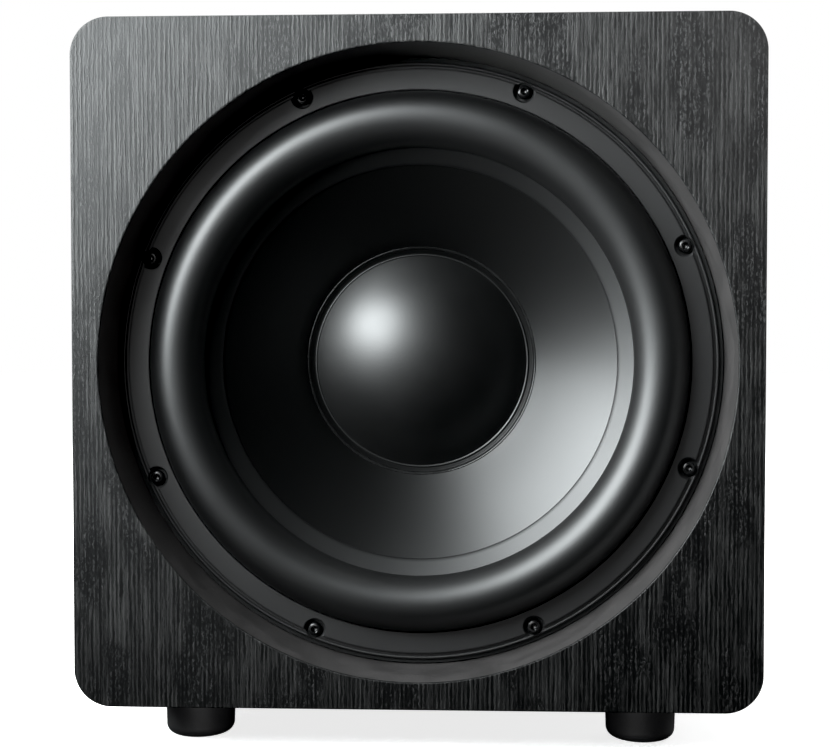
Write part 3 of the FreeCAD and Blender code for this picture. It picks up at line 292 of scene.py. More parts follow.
MATERIALS = {
    "black_ash_vinyl": vinyl(),
    "recess_paint": speckled("recess_paint", (0.013, 0.0110, 0.0106), (0.033, 0.0288, 0.0282), (0.74, 0.92),
                             grain=1250, depth=0.00010, patch=60, specular=0.8, Coat_Weight=0.5,
                             Coat_Roughness=0.28),
    "trim_rubber": speckled("trim_rubber", (0.0074, 0.0074, 0.0077), (0.0098, 0.0098, 0.0102), (0.54, 0.60),
                            grain=1600, depth=0.000014, patch=24, specular=0.56),
    "surround_rubber": speckled("surround_rubber", (0.0016, 0.0016, 0.0017), (0.0026, 0.0026, 0.0027),
                                (0.445, 0.465), grain=1500, depth=0.000008, patch=30, specular=1.0),
    "cone_skin": speckled("cone_skin", (0.0012, 0.0012, 0.0012), (0.0017, 0.0017, 0.0017), (0.36, 0.372),
                          grain=1400, depth=0.000006, patch=22, specular=0.90),
    "cap_skin": speckled("cap_skin", (0.0010, 0.0010, 0.0010), (0.0016, 0.0016, 0.0016), (0.40, 0.43),
                         grain=1300, depth=0.000030, patch=26, specular=0.94),
    "glue": speckled("glue", (0.010, 0.010, 0.010), (0.016, 0.016, 0.016), (0.16, 0.24),
                     grain=700, depth=0.00002),
    "foot_rubber": speckled("foot_rubber", (0.022, 0.022, 0.023), (0.030, 0.030, 0.031), (0.40, 0.48),
                            grain=1300, depth=0.000018),
    "black_steel": speckled("black_steel", (0.004, 0.004, 0.0042), (0.008, 0.008, 0.0083), (0.20, 0.28),
                            grain=1500, depth=0.000006),
    "gasket_foam": speckled("gasket_foam", (0.010, 0.010, 0.010), (0.035, 0.035, 0.035), (0.85, 0.95),
                            grain=1400, depth=0.00012),
    "basket_paint": speckled("basket_paint", (0.012, 0.012, 0.012), (0.018, 0.018, 0.018), (0.40, 0.50),
                             grain=1000, depth=0.00003),
    "fibreboard": speckled("fibreboard", (0.33, 0.22, 0.13), (0.52, 0.38, 0.25), (0.85, 0.95),
                           grain=900, depth=0.00008),
    "wadding": speckled("wadding", (0.55, 0.54, 0.50), (0.88, 0.87, 0.84), (0.95, 1.0),
                        grain=260, depth=0.0009),
    "zinc_steel": brushed("zinc_steel", (0.42, 0.42, 0.40), (0.68, 0.68, 0.65), (0.26, 0.40)),
    "motor_steel": turned("motor_steel", (0.34, 0.34, 0.33), (0.50, 0.50, 0.49), (0.22, 0.36)),
    "ferrite": speckled("ferrite", (0.020, 0.020, 0.021), (0.050, 0.050, 0.052), (0.60, 0.80),
                        grain=700, depth=0.00006),
    "former_sheet": turned("former_sheet", (0.60, 0.61, 0.62), (0.76, 0.77, 0.78), (0.22, 0.30)),
    "copper_wire": wound("copper_wire", (0.30, 0.10, 0.04), (0.78, 0.36, 0.16), 0.0006, (0.22, 0.32), 1.0),
    "spider_cloth": woven("spider_cloth", (0.34, 0.19, 0.05), (0.66, 0.46, 0.17), 4200),
    "laminate_board": speckled("laminate_board", (0.22, 0.10, 0.04), (0.36, 0.20, 0.09), (0.40, 0.55),
                               grain=800, depth=0.00002),
    "tinsel_braid": wound("tinsel_braid", (0.36, 0.20, 0.10), (0.80, 0.58, 0.38), 0.0009, (0.28, 0.40), 1.0),
    "wire_sleeve": speckled("wire_sleeve", (0.30, 0.010, 0.010), (0.42, 0.020, 0.018), (0.34, 0.44),
                            grain=900, depth=0.00001),
    "amp_paint": speckled("amp_paint", (0.016, 0.016, 0.017), (0.024, 0.024, 0.0255), (0.46, 0.50),
                          grain=1100, depth=0.00007, patch=420),
    "sink_anodised": brushed("sink_anodised", (0.020, 0.020, 0.022), (0.045, 0.045, 0.048), (0.34, 0.46),
                             metallic=0.6),
    "black_plastic": speckled("black_plastic", (0.014, 0.014, 0.0145), (0.024, 0.024, 0.025), (0.38, 0.50),
                              grain=1200, depth=0.00003),
    "knob_plastic": speckled("knob_plastic", (0.011, 0.011, 0.0115), (0.018, 0.018, 0.0185), (0.44, 0.54),
                             grain=1500, depth=0.00002),
    "capacitor_sleeve": speckled("capacitor_sleeve", (0.008, 0.012, 0.045), (0.014, 0.022, 0.085),
                                 (0.18, 0.28), grain=500, depth=0.00002),
    "transformer_tape": wound("transformer_tape", (0.30, 0.20, 0.02), (0.62, 0.46, 0.07), 0.0045,
                              (0.20, 0.32), axis="X"),
    "pot_steel": brushed("pot_steel", (0.40, 0.40, 0.39), (0.62, 0.62, 0.60), (0.26, 0.40)),
    "jack_plating": speckled("jack_plating", (0.60, 0.42, 0.14), (0.82, 0.62, 0.26), (0.16, 0.26),
                             grain=1200, depth=0.000006, metallic=1.0),
    "brass_spacer": brushed("brass_spacer", (0.52, 0.36, 0.14), (0.74, 0.56, 0.26), (0.26, 0.38)),
    "white_plastic": speckled("white_plastic", (0.62, 0.62, 0.60), (0.72, 0.72, 0.70), (0.36, 0.46),
                              grain=1000, depth=0.00002),
    "led_lens": speckled("led_lens", (0.020, 0.22, 0.045), (0.035, 0.34, 0.075), (0.10, 0.16),
                         grain=800, depth=0.000004, Transmission_Weight=0.35),
    "marking": speckled("marking", (0.50, 0.50, 0.49), (0.64, 0.64, 0.63), (0.50, 0.60),
                        grain=1200, depth=0.00001),
    "green_board": green_board(),
}

for part in frame["record"]["subparts"]:
    slots = NODES[part["node"]].data.materials
    slots.clear()
    slots.append(MATERIALS[part["material_slot"]])


# Mesh code


def smooth(mesh, sharp):
    """Shades a mesh smooth, apart from edges sharper than an angle in degrees."""
    mesh.polygons.foreach_set("use_smooth", [True] * len(mesh.polygons))
    mesh.set_sharp_from_angle(angle=math.radians(sharp))


def build(name, verts, faces, materials, face_slots=None, sharp=35):
    """Makes a piece from points and faces; face_slots picks one of the materials for each face."""
    mesh = bpy.data.meshes.new(name)
    mesh.from_pydata([tuple(v) for v in verts], [], faces)
    for material in materials:
        mesh.materials.append(MATERIALS[material])
    if face_slots is not None:
        mesh.polygons.foreach_set("material_index", face_slots)
    work = bmesh.new()
    work.from_mesh(mesh)
    bmesh.ops.remove_doubles(work, verts=work.verts, dist=1e-7)
    bmesh.ops.recalc_face_normals(work, faces=work.faces)
    work.to_mesh(mesh)
    work.free()
    smooth(mesh, sharp)
    made = bpy.data.objects.new(name, mesh)
    bpy.context.scene.collection.objects.link(made)
    return made


def strips(count, rings, closed=True):
    """Faces between rings of points that follow one another; closed joins the last ring to the first."""
    faces = []
    for i in range(rings if closed else rings - 1):
        j = (i + 1) % rings
        for k in range(count):
            after = (k + 1) % count
            faces.append([i * count + k, i * count + after, j * count + after, j * count + k])
    return faces


def lathe(name, profile, material, centre=(0.0, AXIS_Z), segments=SEGMENTS, sharp=35):
    """Turns a closed outline about a line along Y; its points are (radius, depth behind the front) in mm."""
    x0, z0 = centre
    verts, rings = [], []
    for radius, depth in profile:
        y = FRONT_Y + depth * MM
        if radius < 1e-6:
            rings.append([len(verts)] * segments)
            verts.append((x0, y, z0))
            continue
        rings.append(list(range(len(verts), len(verts) + segments)))
        for k in range(segments):
            turn = 2 * math.pi * k / segments
            verts.append((x0 + radius * MM * math.cos(turn), y, z0 + radius * MM * math.sin(turn)))
    faces = []
    for near, far in zip(rings, rings[1:] + rings[:1]):
        for k in range(segments):
            after = (k + 1) % segments
            corners = [near[k], near[after], far[after], far[k]]
            corners = [c for i, c in enumerate(corners) if c not in corners[:i]]
            if len(corners) > 2:
                faces.append(corners)
    return build(name, verts, faces, [material], sharp=sharp)


def arc(centre, radius, start, end, steps):
    """Points of a circle's arc in the (radius, depth) plane, angles in degrees."""
    angles = np.radians(np.linspace(start, end, steps + 1))
    return [(centre[0] + radius * math.cos(a), centre[1] + radius * math.sin(a)) for a in angles]


def softened(points, radius, steps):
    """A closed outline with its corners rounded."""
    result = []
    for i in range(len(points)):
        before, corner, after = (np.array(points[j % len(points)]) for j in (i - 1, i, i + 1))
        back, on = before - corner, after - corner
        reach = min(radius, 0.45 * np.linalg.norm(back), 0.45 * np.linalg.norm(on))
        start = corner + back / np.linalg.norm(back) * reach
        end = corner + on / np.linalg.norm(on) * reach
        for t in np.linspace(0, 1, steps + 1):
            result.append(tuple((1 - t) ** 2 * start + 2 * t * (1 - t) * corner + t ** 2 * end))
    return result


def carve(piece, cutters):
    """Cuts other pieces out of a piece and removes them."""
    for cutter in cutters:
        cut = piece.modifiers.new("Cut", "BOOLEAN")
        cut.object = cutter
        cut.solver = "EXACT"
    bpy.context.view_layer.update()
    done = bpy.data.meshes.new_from_object(piece.evaluated_get(bpy.context.evaluated_depsgraph_get()))
    piece.modifiers.clear()
    piece.data = done
    for cutter in cutters:
        bpy.data.objects.remove(cutter)
    smooth(done, 30)


def middle(node):
    """The centre of a CAD node, seen from the front, as (x, z)."""
    low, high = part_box(node)
    return (low.x + high.x) / 2, (low.z + high.z) / 2


def dress(names, width):
    """Merges the split corners of some CAD nodes and breaks their sharp edges by a width in mm."""
    for name in names:
        piece = NODES[name]
        weld = piece.modifiers.new("Weld", "WELD")
        weld.merge_threshold = 1e-6
        bevel = piece.modifiers.new("Bevel", "BEVEL")
        bevel.width = width * MM
        bevel.segments = 2
        bevel.limit_method = "ANGLE"
        bevel.angle_limit = math.radians(30)
        bevel.use_clamp_overlap = True
        normals = piece.modifiers.new("Normals", "WEIGHTED_NORMAL")
        normals.keep_sharp = True


# The baffle


def rounded_outline(inset):
    """Points (x, z) around the front's rounded square, about the driver's axis, inset by a distance."""
    x_in, z_in = HALF_WIDTH - LONG_EDGE, HALF_HEIGHT - LONG_EDGE
    reach = LONG_EDGE - inset
    signs = ((1, 1), (-1, 1), (-1, -1), (1, -1))
    points = []
    for k, (sx, sz) in enumerate(signs):
        for a in np.linspace(0, math.pi / 2, 29):
            turn = k * math.pi / 2 + a
            points.append((sx * x_in + reach * math.cos(turn), sz * z_in + reach * math.sin(turn)))
        nx, nz = signs[(k + 1) % 4]
        last = points[-1]
        turn = (k + 1) * math.pi / 2
        first = (nx * x_in + reach * math.cos(turn), nz * z_in + reach * math.sin(turn))
        for t in np.linspace(0, 1, 72)[1:-1]:
            points.append((last[0] + (first[0] - last[0]) * t, last[1] + (first[1] - last[1]) * t))
    return points


def outline_ring(inset, y):
    """The rounded square as points in space."""
    return [(x, y, AXIS_Z + z) for x, z in rounded_outline(inset)]


BAND_START = FRONT_Y + 1.2 * MM
RECESS = 158.25 * MM


def baffle_band():
    """The wrap round the front board's edge, behind its crisp corner."""
    skin = 0.3 * MM
    rings = [outline_ring(0, BAND_START), outline_ring(0, RECESS_Y),
             outline_ring(skin, RECESS_Y), outline_ring(skin, BAND_START)]
    band = build("baffle_band", [p for ring in rings for p in ring], strips(len(rings[0]), len(rings)),
                 ["black_ash_vinyl"], sharp=30)
    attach(band, "cabinet")


def baffle():
    """The front board: crisp outer edges, and a small roll of vinyl into the painted recess."""
    bend = 0.8 * MM
    edge = 0.45 * MM
    ledge, ledge_front = 0.8 * MM, RECESS_Y - 0.4 * MM
    turns = [math.atan2(z, x) for x, z in rounded_outline(0)]

    def circle_ring(radius, y):
        return [(radius * math.cos(t), y, AXIS_Z + radius * math.sin(t)) for t in turns]

    rings = [circle_ring(RECESS - ledge, RECESS_Y), circle_ring(RECESS - ledge, ledge_front),
             circle_ring(RECESS - 0.15 * MM, ledge_front), circle_ring(RECESS, ledge_front - 0.2 * MM),
             circle_ring(RECESS, FRONT_Y + 3 * MM), circle_ring(RECESS, FRONT_Y + bend + 0.15 * MM)]
    paint_rings = len(rings) - 1
    for a in np.linspace(0, math.pi / 2, 6):
        rings.append(circle_ring(RECESS + bend * (1 - math.cos(a)), FRONT_Y + bend * (1 - math.sin(a))))
    rings += [circle_ring(RECESS + bend + 0.3 * MM, FRONT_Y), outline_ring(edge + 0.3 * MM, FRONT_Y)]
    for a in np.linspace(0, math.pi / 2, 5):
        rings.append(outline_ring(edge * (1 - math.sin(a)), FRONT_Y + edge * (1 - math.cos(a))))
    inside = 0.4 * MM
    rings += [outline_ring(0, BAND_START), outline_ring(inside, BAND_START), outline_ring(inside, RECESS_Y)]
    slots = [1 if i < paint_rings else 0 for i in range(len(rings)) for _ in turns]
    made = build("baffle_wrap", [p for ring in rings for p in ring], strips(len(turns), len(rings)),
                 ["black_ash_vinyl", "recess_paint"], slots)
    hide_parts("front_baffle")
    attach(made, "cabinet")


baffle()
baffle_band()


# The moving assembly

# Radii, and depths behind the front, in mm. LAP is how deep the surround's lap, 0.8 mm thick, is along Y.
ROLL_CENTRE, ROLL_RADIUS, ROLL_HEIGHT, LIP = 125.9, 14.5, 16.0, 38.7
LIP_END = 146.0
CONE_RISE = 0.839
LAP_START, LAP_END = ROLL_CENTRE - ROLL_RADIUS, 103.6
LAP = 0.8 * math.sqrt(1 + CONE_RISE ** 2)
TRIM_FRONT, FLANGE = 36.5, 39.7


def slope(radius, offset=0.0):
    """The depth of the lap's front face at a radius, plus an offset."""
    return LIP + (LAP_START - radius) * CONE_RISE + offset


def radial_blend(piece):
    """Bakes the piece's placement into its points and works out how far each point lies from the axis, in mm;
    nothing uses these distances.
    """
    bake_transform(piece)
    co = np.empty(len(piece.data.vertices) * 3)
    piece.data.vertices.foreach_get("co", co)
    co = co.reshape(-1, 3)
    radius = np.hypot(co[:, 0], co[:, 2] - AXIS_Z) / MM


def roll(width, height, depth, start, end, steps):
    """Half of an ellipse between the cone and the frame, as (radius, depth) points."""
    angles = np.radians(np.linspace(start, end, steps + 1))
    return [(ROLL_CENTRE + width * math.cos(a), depth + height * math.sin(a)) for a in angles]


def surround():
    """The rubber half roll, 1 mm thick, with its lap on the cone and its lip on the frame."""
    crown = roll(ROLL_RADIUS, ROLL_HEIGHT, LIP, 0, -180, 56)
    lap = [(radius, slope(radius))
           for radius in (LAP_START - 0.15, LAP_START - 0.5, LAP_END + 1.6, LAP_END + 0.3)]
    lap += [(LAP_END, slope(LAP_END, 0.3)), (LAP_END, slope(LAP_END, LAP))]
    under = (LAP_START + 1, slope(LAP_START + 1, LAP))
    inner = roll(ROLL_RADIUS - 1, ROLL_HEIGHT - 1, under[1], -180, 0, 40)[1:-1]
    lip = [(139.3, FLANGE), (LIP_END, FLANGE), (LIP_END, LIP)]
    front = [(crown[0][0] + 0.3, LIP), (crown[0][0] + 0.05, LIP)]
    piece = lathe("surround_roll", front + crown + lap + [under] + inner + lip, "surround_rubber", sharp=32)
    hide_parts("surround")
    radial_blend(piece)


def cone_shell():
    """The cone's body, a straight slope with a neck that holds the coil former."""
    front, back = LAP + 0.1, LAP + 1.6
    neck_in, neck_out, neck_end = 25.9, 27.1, 113.9
    rim = 111.6
    face = [(radius, slope(radius, front)) for radius in (rim, 110.8, 90, 60, 27.5, neck_in)]
    rear = [(radius, slope(radius, back)) for radius in (neck_out, 70, rim)]
    neck = [(neck_in, neck_end), (neck_out, neck_end)]
    piece = lathe("cone_shell", face + neck + rear, "cone_skin", sharp=20)
    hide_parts("cone")
    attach(piece, "cone_assembly")


def dust_dome():
    """A shallow spherical cap with a small rolled edge and a flange that is glued to the cone."""
    sphere, edge, hollow_edge = 96.0, 58.4, 57.4
    glued = 1.04

    def centre(radius, depth):
        """The depth of the centre of the sphere that passes through a point."""
        return depth - (sphere - math.sqrt(sphere ** 2 - radius ** 2)) + sphere

    reach = math.degrees(math.asin((edge - 0.7) / sphere))
    dome = arc((0, centre(edge, slope(edge))), sphere, -90, -90 + reach, 60)
    bead = arc((edge - 0.1, dome[-1][1] + 0.15), 0.45, 215, 355, 10)
    bead.append((edge + 0.36, slope(edge) + 0.35))
    flange = [(radius, slope(radius, rise)) for radius, rise in
              ((edge + 0.5, 0.74), (edge + 0.8, 0.78), (edge + 1.8, 0.78), (edge + 2.2, 0.55),
               (edge + 2.6, 0.6), (edge + 2.8, glued), (hollow_edge, glued))]
    reach = math.degrees(math.asin((hollow_edge - 0.4) / sphere))
    hollow = arc((0, centre(hollow_edge, slope(hollow_edge, glued))), sphere, -90 + reach, -90, 30)
    piece = lathe("dust_dome", dome + bead + flange + hollow, "cap_skin", sharp=50)
    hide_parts("dust_cap")
    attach(piece, "cone_assembly")


def spider():
    """The corrugated disc, as waves of cloth that fade out at both ends."""
    steps, waves, swing = 120, 5.5, 1.1
    front = [(25.8, 115.4), (27, 115.4)]
    for k in range(steps + 1):
        u = k / steps
        fade = min(1.0, 8 * u, 8 * (1 - u))
        wave = fade * swing * math.sin(2 * math.pi * waves * u)
        front.append((29 + 46 * u, 116.2 + wave + 1.2 * u ** 3))
    front += [(78, 117.4), (86, 117.4)]
    back = [(r, d + 0.6) for r, d in reversed(front)]
    piece = lathe("spider_disc", front + back, "spider_cloth", segments=240, sharp=60)
    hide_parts("spider")
    radial_blend(piece)


def tinsel():
    """Two braided leads between the terminal board and the cone; route is (depth, height over the axis)."""
    route = [(99.9, 92.4), (93, 91.5), (88, 84), (84, 75), (73.9, 73.4)]
    verts, faces = [], []
    for x in (-8, 8):
        curve = bpy.data.curves.new("route", "CURVE")
        curve.dimensions = "3D"
        spline = curve.splines.new("NURBS")
        spline.points.add(len(route) - 1)
        for point, (depth, rise) in zip(spline.points, route):
            point.co = (x * MM, FRONT_Y + depth * MM, AXIS_Z + rise * MM, 1)
        spline.order_u = 3
        spline.use_endpoint_u = True
        curve.bevel_depth = 0.9 * MM
        curve.bevel_resolution = 5
        curve.resolution_u = 16
        curve.use_fill_caps = True
        holder = bpy.data.objects.new("route", curve)
        bpy.context.scene.collection.objects.link(holder)
        bpy.context.view_layer.update()
        tube = bpy.data.meshes.new_from_object(holder.evaluated_get(bpy.context.evaluated_depsgraph_get()))
        base = len(verts)
        verts += [v.co[:] for v in tube.vertices]
        faces += [[base + i for i in p.vertices] for p in tube.polygons]
        bpy.data.objects.remove(holder)
    piece = build("tinsel_pair", verts, faces, ["tinsel_braid"], sharp=60)
    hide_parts("tinsel_leads")
    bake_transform(piece)


def glue_bead():
    """The shiny line of glue around the dust cap's flange."""
    surface = LAP + 0.1
    profile = [(radius, slope(radius, surface - height)) for radius, height in
               ((61.25, -0.1), (61.3, 0.35), (61.7, 0.62), (62.2, 0.6), (62.6, 0.3), (62.8, 0.02),
                (62.7, -0.1))]
    piece = lathe("cap_glue", softened(profile, 0.25, 3), "glue", sharp=70)
    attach(piece, "cone_assembly")


# The trim ring and its screws

SCREW_CIRCLE, FIRST_SCREW, SCREWS = 149.9, 23.7, 8


def screw_centres():
    """Each screw's direction from the axis, in radians, and its place in x and z."""
    turns = [math.radians(FIRST_SCREW + 360 / SCREWS * k) for k in range(SCREWS)]
    return [(t, SCREW_CIRCLE * MM * math.cos(t), AXIS_Z + SCREW_CIRCLE * MM * math.sin(t)) for t in turns]


def trim_ring():
    """The rubber ring over the driver's flange, with a groove, a bead and a pocket at each screw."""
    inner_edge, outer_edge, rebate = 141.0, 155.5, 146.7
    inner = [(inner_edge, LIP), (inner_edge, 37.0), (141.08, 36.76), (141.26, 36.58),
             (141.5, TRIM_FRONT + 0.01), (141.75, TRIM_FRONT), (142.1, TRIM_FRONT), (150.9, TRIM_FRONT)]
    groove = [(151.2, TRIM_FRONT), (151.45, TRIM_FRONT + 0.03), (151.75, 36.62), (152.0, 36.95),
              (152.2, 38.6), (152.45, 38.8), (153.3, 38.8)]
    bead = arc((154.4, 38.5), 0.75, 185, 355, 14)
    outer = [(outer_edge, 38.8), (outer_edge, FLANGE), (rebate, FLANGE), (rebate, LIP)]
    ring = lathe("trim_face", inner + groove + bead + outer, "trim_rubber", sharp=40)
    pocket = [(0, 34), (7.2, 34), (6.1, 36.35), (5.85, 36.6), (5.1, 37.35), (4.9, 37.75), (4.9, 41), (0, 41)]
    carve(ring, [lathe("pocket", pocket, "trim_rubber", centre=(x, z), segments=64)
                 for _, x, z in screw_centres()])
    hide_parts("trim_ring")
    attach(ring, "cabinet")


def screw_heads():
    """Low domed heads with hexagon sockets, and their shanks; a True marks the hexagon's rings."""
    steps = 48
    shank, shank_end, head = 2, 64.7, 3.5
    outline = [(0, shank_end, False), (shank, shank_end, False), (shank, FLANGE, False),
               (head, FLANGE, False), (head, 37.6, False), (3.38, 37.2, False), (3.1, 36.85, False),
               (2.7, 36.6, False), (2.3, 36.45, False), (1.95, 36.4, False), (1.5, 36.7, True),
               (1.5, 38.2, True), (1.2, 38.5, True), (0, 39.0, False)]
    verts, faces = [], []
    for turn, x, z in screw_centres():
        base = len(verts)
        for radius, depth, hexagon in outline:
            for k in range(steps):
                angle = 2 * math.pi * k / steps
                corner = (angle + math.pi / 6) % (math.pi / 3) - math.pi / 6
                reach = radius * MM / (math.cos(corner) if hexagon else 1)
                verts.append((x + reach * math.cos(angle + turn), FRONT_Y + depth * MM,
                              z + reach * math.sin(angle + turn)))
        faces += [[base + i for i in face] for face in strips(steps, len(outline), closed=False)]
    piece = build("screw_heads", verts, faces, ["black_steel"], sharp=35)
    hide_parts("driver_screws")
    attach(piece, "cabinet")


trim_ring()
screw_heads()
surround()
cone_shell()
dust_dome()
spider()
tinsel()
glue_bead()


# The back


def slab(name, centre, half, corner, depths, edge, material, steps=10):
    """A board with rounded corners and a rounded back edge; depths are its front and back, in metres."""

    def ring(inset, y):
        points = []
        reach = corner - inset
        for k, (sx, sz) in enumerate(((1, 1), (-1, 1), (-1, -1), (1, -1))):
            for a in np.linspace(0, math.pi / 2, steps + 1):
                turn = k * math.pi / 2 + a
                points.append((centre[0] + sx * (half[0] - corner) + reach * math.cos(turn), y,
                               centre[1] + sz * (half[1] - corner) + reach * math.sin(turn)))
        return points

    rings = [ring(0, depths[0]), ring(0, depths[1] - edge)]
    rings += [ring(edge * (1 - math.cos(a)), depths[1] - edge * (1 - math.sin(a)))
              for a in np.linspace(0, math.pi / 2, 5)[1:]]
    count = len(rings[0])
    verts = [p for r in rings for p in r]
    ends = [list(range(count)), list(range(len(verts) - count, len(verts)))]
    return build(name, verts, ends + strips(count, len(rings), closed=False), [material])


def pierced(piece, holes):
    """Cuts square holes, each (x, z, half width, half height) in metres, through a board at the back."""
    depths = (PANEL_BACK - 0.05, PANEL_BACK + 0.05)
    carve(piece, [slab("hole", (x, z), (wide, high), 0.4 * MM, depths, 0.1 * MM, "black_plastic", steps=2)
                  for x, z, wide, high in holes])


def rear_skin():
    """The vinyl that wraps over the joints of the back board, the walls and the corner posts."""
    opening = 111 * MM
    skin = slab("rear_skin", (0, AXIS_Z), (HALF_WIDTH, HALF_HEIGHT), LONG_EDGE,
                (PANEL_BACK, PANEL_BACK + 0.35 * MM), 0.3 * MM, "black_ash_vinyl", steps=24)
    pierced(skin, [(0, AXIS_Z, opening, opening)])
    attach(skin, "cabinet")


def plate():
    """The amplifier's plate, with openings for the mains socket, the rocker and the slider."""
    low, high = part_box("amp_plate")
    board = slab("amp_panel", middle("amp_plate"), ((high.x - low.x) / 2, (high.z - low.z) / 2), 4 * MM,
                 (low.y, high.y), 0.7 * MM, "amp_paint")
    pierced(board, [(*middle("power_rocker"), 7.2 * MM, 10.2 * MM),
                    (*middle("phase_switch"), 4.6 * MM, 2.1 * MM),
                    (*middle("iec_inlet"), 12.5 * MM, 9 * MM)])
    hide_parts("amp_plate")
    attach(board, "cabinet")


def bar(verts, faces, centre, turn, reach, half, y, thick):
    """Adds a thin bar in the panel's plane, from reach[0] to reach[1] away from a centre; turn 0 is up."""
    out = (math.sin(turn), math.cos(turn))
    side = (out[1], -out[0])
    base = len(verts)
    for depth in (y, y + thick):
        for r, w in ((reach[0], -half), (reach[0], half), (reach[1], half), (reach[1], -half)):
            verts.append((centre[0] + out[0] * r + side[0] * w, depth, centre[1] + out[1] * r + side[1] * w))
    for face in ((0, 1, 2, 3), (4, 5, 6, 7), (0, 1, 5, 4), (1, 2, 6, 5), (2, 3, 7, 6), (3, 0, 4, 7)):
        faces.append([base + i for i in face])


def panel_marks():
    """Printed ticks around the two knobs and over the slider and the rocker, and a line across the panel."""
    verts, faces = [], []
    y, thick = PLATE_BACK, 0.12 * MM
    for knob in ("volume_knob", "crossover_knob"):
        for k in range(11):
            end, half = (15 * MM, 0.40 * MM) if k in (0, 5, 10) else (13.6 * MM, 0.28 * MM)
            bar(verts, faces, middle(knob), math.radians(-150 + 30 * k), (11.6 * MM, end), half, y, thick)
    x, z = middle("phase_switch")
    for side in (-1, 1):
        bar(verts, faces, (x + side * 2.2 * MM, z), 0, (4.4 * MM, 6.4 * MM), 0.3 * MM, y, thick)
    bar(verts, faces, middle("power_rocker"), 0, (13.6 * MM, 16.4 * MM), 0.35 * MM, y, thick)
    line, drop = 96 * MM, 24 * MM
    bar(verts, faces, (0, AXIS_Z - drop), math.radians(90), (-line, line), 0.13 * MM, y, thick)
    marks = build("panel_marks", verts, faces, ["marking"], sharp=20)
    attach(marks, "cabinet")


def knob_pointers():
    """A pale line let into the notch of each knob."""
    for knob, body in (("volume_knob", "volume_control"), ("crossover_knob", "crossover_control")):
        verts, faces = [], []
        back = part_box(knob)[1].y
        bar(verts, faces, middle(knob), 0, (2.7 * MM, 8.2 * MM), 0.5 * MM, back - 0.5 * MM, 0.42 * MM)
        line = build(knob.replace("knob", "pointer"), verts, faces, ["marking"], sharp=20)
        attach(line, body)


rear_skin()
plate()
panel_marks()
knob_pointers()


# Edges of the CAD pieces that show

dress(["heatsink", "iec_inlet", "power_switch", "power_rocker", "phase_slider"], 0.35)
dress(["top_plate", "magnet", "pole_yoke"], 0.6)


# The stage, the light and the camera

WHITE = (1, 1, 1, 1)
COOL_WHITE = (0.945, 1.0, 1.014)
LENS = 61.465
CAMERA_PLACE = (0.0298, -0.8933, AXIS_Z + 0.0173)
CAMERA_DOWN, CAMERA_LEFT = 1.78, 2.46
BLACK_LEVEL = 0.0034


def stage():
    """A white floor that glows a little less close to the cabinet."""
    mesh = bpy.data.meshes.new("floor")
    reach = 6.0
    mesh.from_pydata([(-reach, -reach, 0), (reach, -reach, 0), (reach, reach, 0), (-reach, reach, 0)],
                     [], [[0, 1, 2, 3]])
    m = Nodes("floor_paper")
    m.finish(m.mix_color(m.noise(6, 2.0), (0.80, 0.80, 0.80), (0.84, 0.84, 0.84)), 0.9)
    away = m.new("ShaderNodeVectorMath")
    away.operation = "LENGTH"
    m.set(away, "i0", m.coords.outputs["Object"])
    m.set(m.shader, "Emission Color", WHITE)
    m.set(m.shader, "Emission Strength", m.ramp(away.outputs["Value"], 0.30, 1.1, 0.80, 1.0))
    mesh.materials.append(m.material)
    floor = bpy.data.objects.new("floor", mesh)
    floor.visible_diffuse = False
    floor.visible_glossy = False
    bpy.context.scene.collection.objects.link(floor)


def area(name, place, target, size, power, shape="RECTANGLE"):
    """An area light aimed at a target; size in metres, power in watts."""
    data = bpy.data.lights.new(name, "AREA")
    data.shape = shape
    data.size, data.size_y = size
    data.energy = power
    light = bpy.data.objects.new(name, data)
    bpy.context.scene.collection.objects.link(light)
    light.visible_camera = False
    light.location = place
    light.rotation_euler = (Vector(target) - Vector(place)).to_track_quat("-Z", "Y").to_euler()
    return light


def only(light, pieces):
    """Limits a light to some of the pieces."""
    lit = bpy.data.collections.new("lit_by_" + light.name)
    for piece in pieces:
        lit.objects.link(bpy.data.objects[piece])
    light.light_linking.receiver_collection = lit


# The pieces that each group of lights reaches.
FRONT_PIECES = ["baffle_wrap", "trim_face", "screw_heads", "surround_roll", "cone_shell", "cap_glue",
                "basket", "baffle_gasket", "foot_front_left", "foot_front_right", "floor"]
SIDE_PIECES = ["left_panel", "right_panel", "baffle_band", "corner_post_top_left", "corner_post_top_right",
               "corner_post_bottom_left", "corner_post_bottom_right", "foot_front_left", "foot_front_right",
               "foot_rear_left", "foot_rear_right"]
BACK_PIECES = ["rear_skin", "amp_panel", "heatsink", "panel_marks", "volume_knob", "volume_pointer",
               "crossover_knob", "crossover_pointer", "phase_switch", "phase_slider", "rca_jacks",
               "power_switch", "power_rocker", "iec_inlet", "fuse_holder", "status_led", "amp_screws",
               "pot_nuts", "foot_rear_left", "foot_rear_right", "floor"]


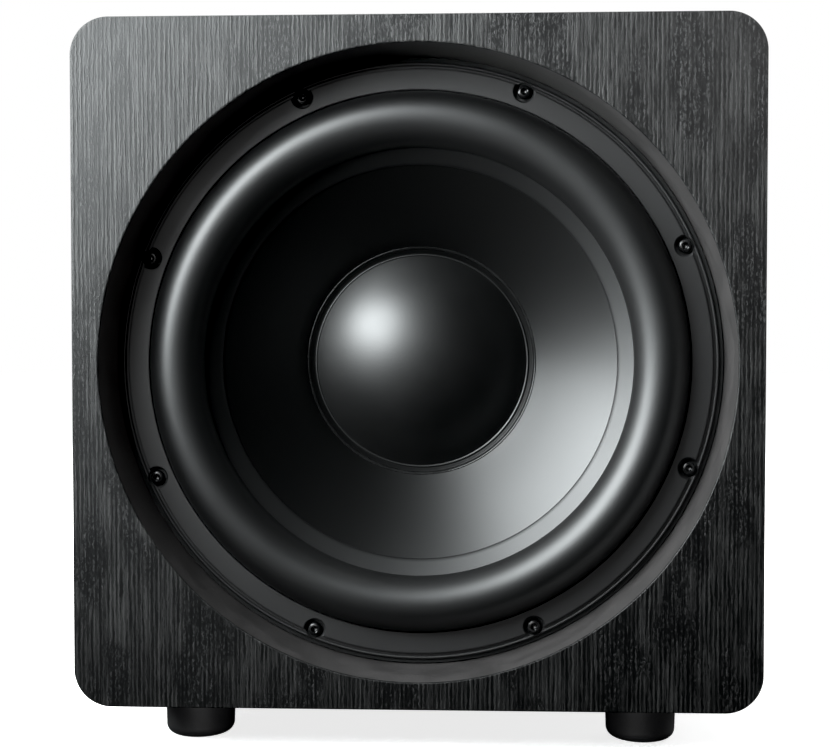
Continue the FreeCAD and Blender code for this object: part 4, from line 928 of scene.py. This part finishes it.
def lights():
    """One large soft box close by on the upper left, with small cards for what it leaves dark.

    The dust cap has a round lamp of its own for its highlight. Other lights show the top, sides and back.
    """
    key = area("softbox", (-0.622, -0.426, AXIS_Z + 0.575), (-0.401, FRONT_Y, AXIS_Z + 0.596),
               (1.19, 1.14), 39, "ELLIPSE")
    key.data.spread = math.radians(142)
    key.data.color = COOL_WHITE
    only(key, FRONT_PIECES)
    glow = area("table_glow", (-0.19, -0.44, 0.004), (-0.19, -0.44, 1.0), (0.44, 0.30), 0.06)
    only(glow, ["baffle_wrap", "trim_face", "surround_roll", "cone_shell", "screw_heads"])
    low = area("foot_card", (-0.03, -0.46, 0.05), (-0.01, -0.15, 0.012), (0.36, 0.05), 0.42)
    only(low, ["foot_front_left", "foot_front_right"])
    upper = area("upper_card", (0.42, -0.62, 0.56), (0.19, -0.19, 0.34), (0.25, 0.25), 0.22)
    upper.data.spread = math.radians(60)
    only(upper, ["baffle_wrap"])
    lamp = area("dome_card", (-0.56, -0.84, AXIS_Z + 0.38), (0, FRONT_Y, AXIS_Z), (0.50, 0.50), 19, "ELLIPSE")
    lamp.data.color = COOL_WHITE
    only(lamp, ["dust_dome"])
    face = area("trim_card", (-0.30, -1.05, AXIS_Z + 0.25), (0, FRONT_Y, AXIS_Z), (0.7, 0.7), 4)
    only(face, ["trim_face", "screw_heads"])
    area("top_fill", (0.1, 0.25, 1.25), (0, 0.1, 0.3), (1.1, 0.9), 16)
    for light in (area("left_fill", (-1.25, 0.35, 0.70), (-0.1, 0.05, 0.2), (0.9, 0.9), 20),
                  area("right_fill", (1.25, 0.35, 0.70), (0.1, 0.05, 0.2), (0.9, 0.9), 20)):
        only(light, SIDE_PIECES)
    for light in (area("back_left", (-0.65, 1.05, 0.95), (0, 0.15, 0.2), (1.0, 0.8), 46),
                  area("back_right", (0.9, 1.0, 0.45), (0, 0.15, 0.2), (0.5, 0.9), 14)):
        only(light, BACK_PIECES)
    world = bpy.data.worlds.new("studio")
    bpy.context.scene.world = world
    world.use_nodes = True
    world.node_tree.nodes["Background"].inputs["Color"].default_value = WHITE
    world.node_tree.nodes["Background"].inputs["Strength"].default_value = 1.0
    world.cycles_visibility.diffuse = False
    world.cycles_visibility.glossy = False


def camera():
    """A long lens close in front, a little to the right and above the axis; its angles are in degrees."""
    data = bpy.data.cameras.new("camera")
    data.sensor_width = 36
    data.lens = LENS
    view = bpy.data.objects.new("camera", data)
    bpy.context.scene.collection.objects.link(view)
    view.location = CAMERA_PLACE
    view.rotation_euler = (math.radians(90 - CAMERA_DOWN), 0, math.radians(CAMERA_LEFT))
    bpy.context.scene.camera = view


def grade():
    """Plain colours, with a black level that takes the darkest tones down to black."""
    grading = bpy.context.scene.view_settings
    grading.view_transform = "Standard"
    grading.use_curve_mapping = True
    grading.curve_mapping.black_level = (BLACK_LEVEL, BLACK_LEVEL, BLACK_LEVEL)
    grading.curve_mapping.update()


stage()
lights()
camera()
grade()
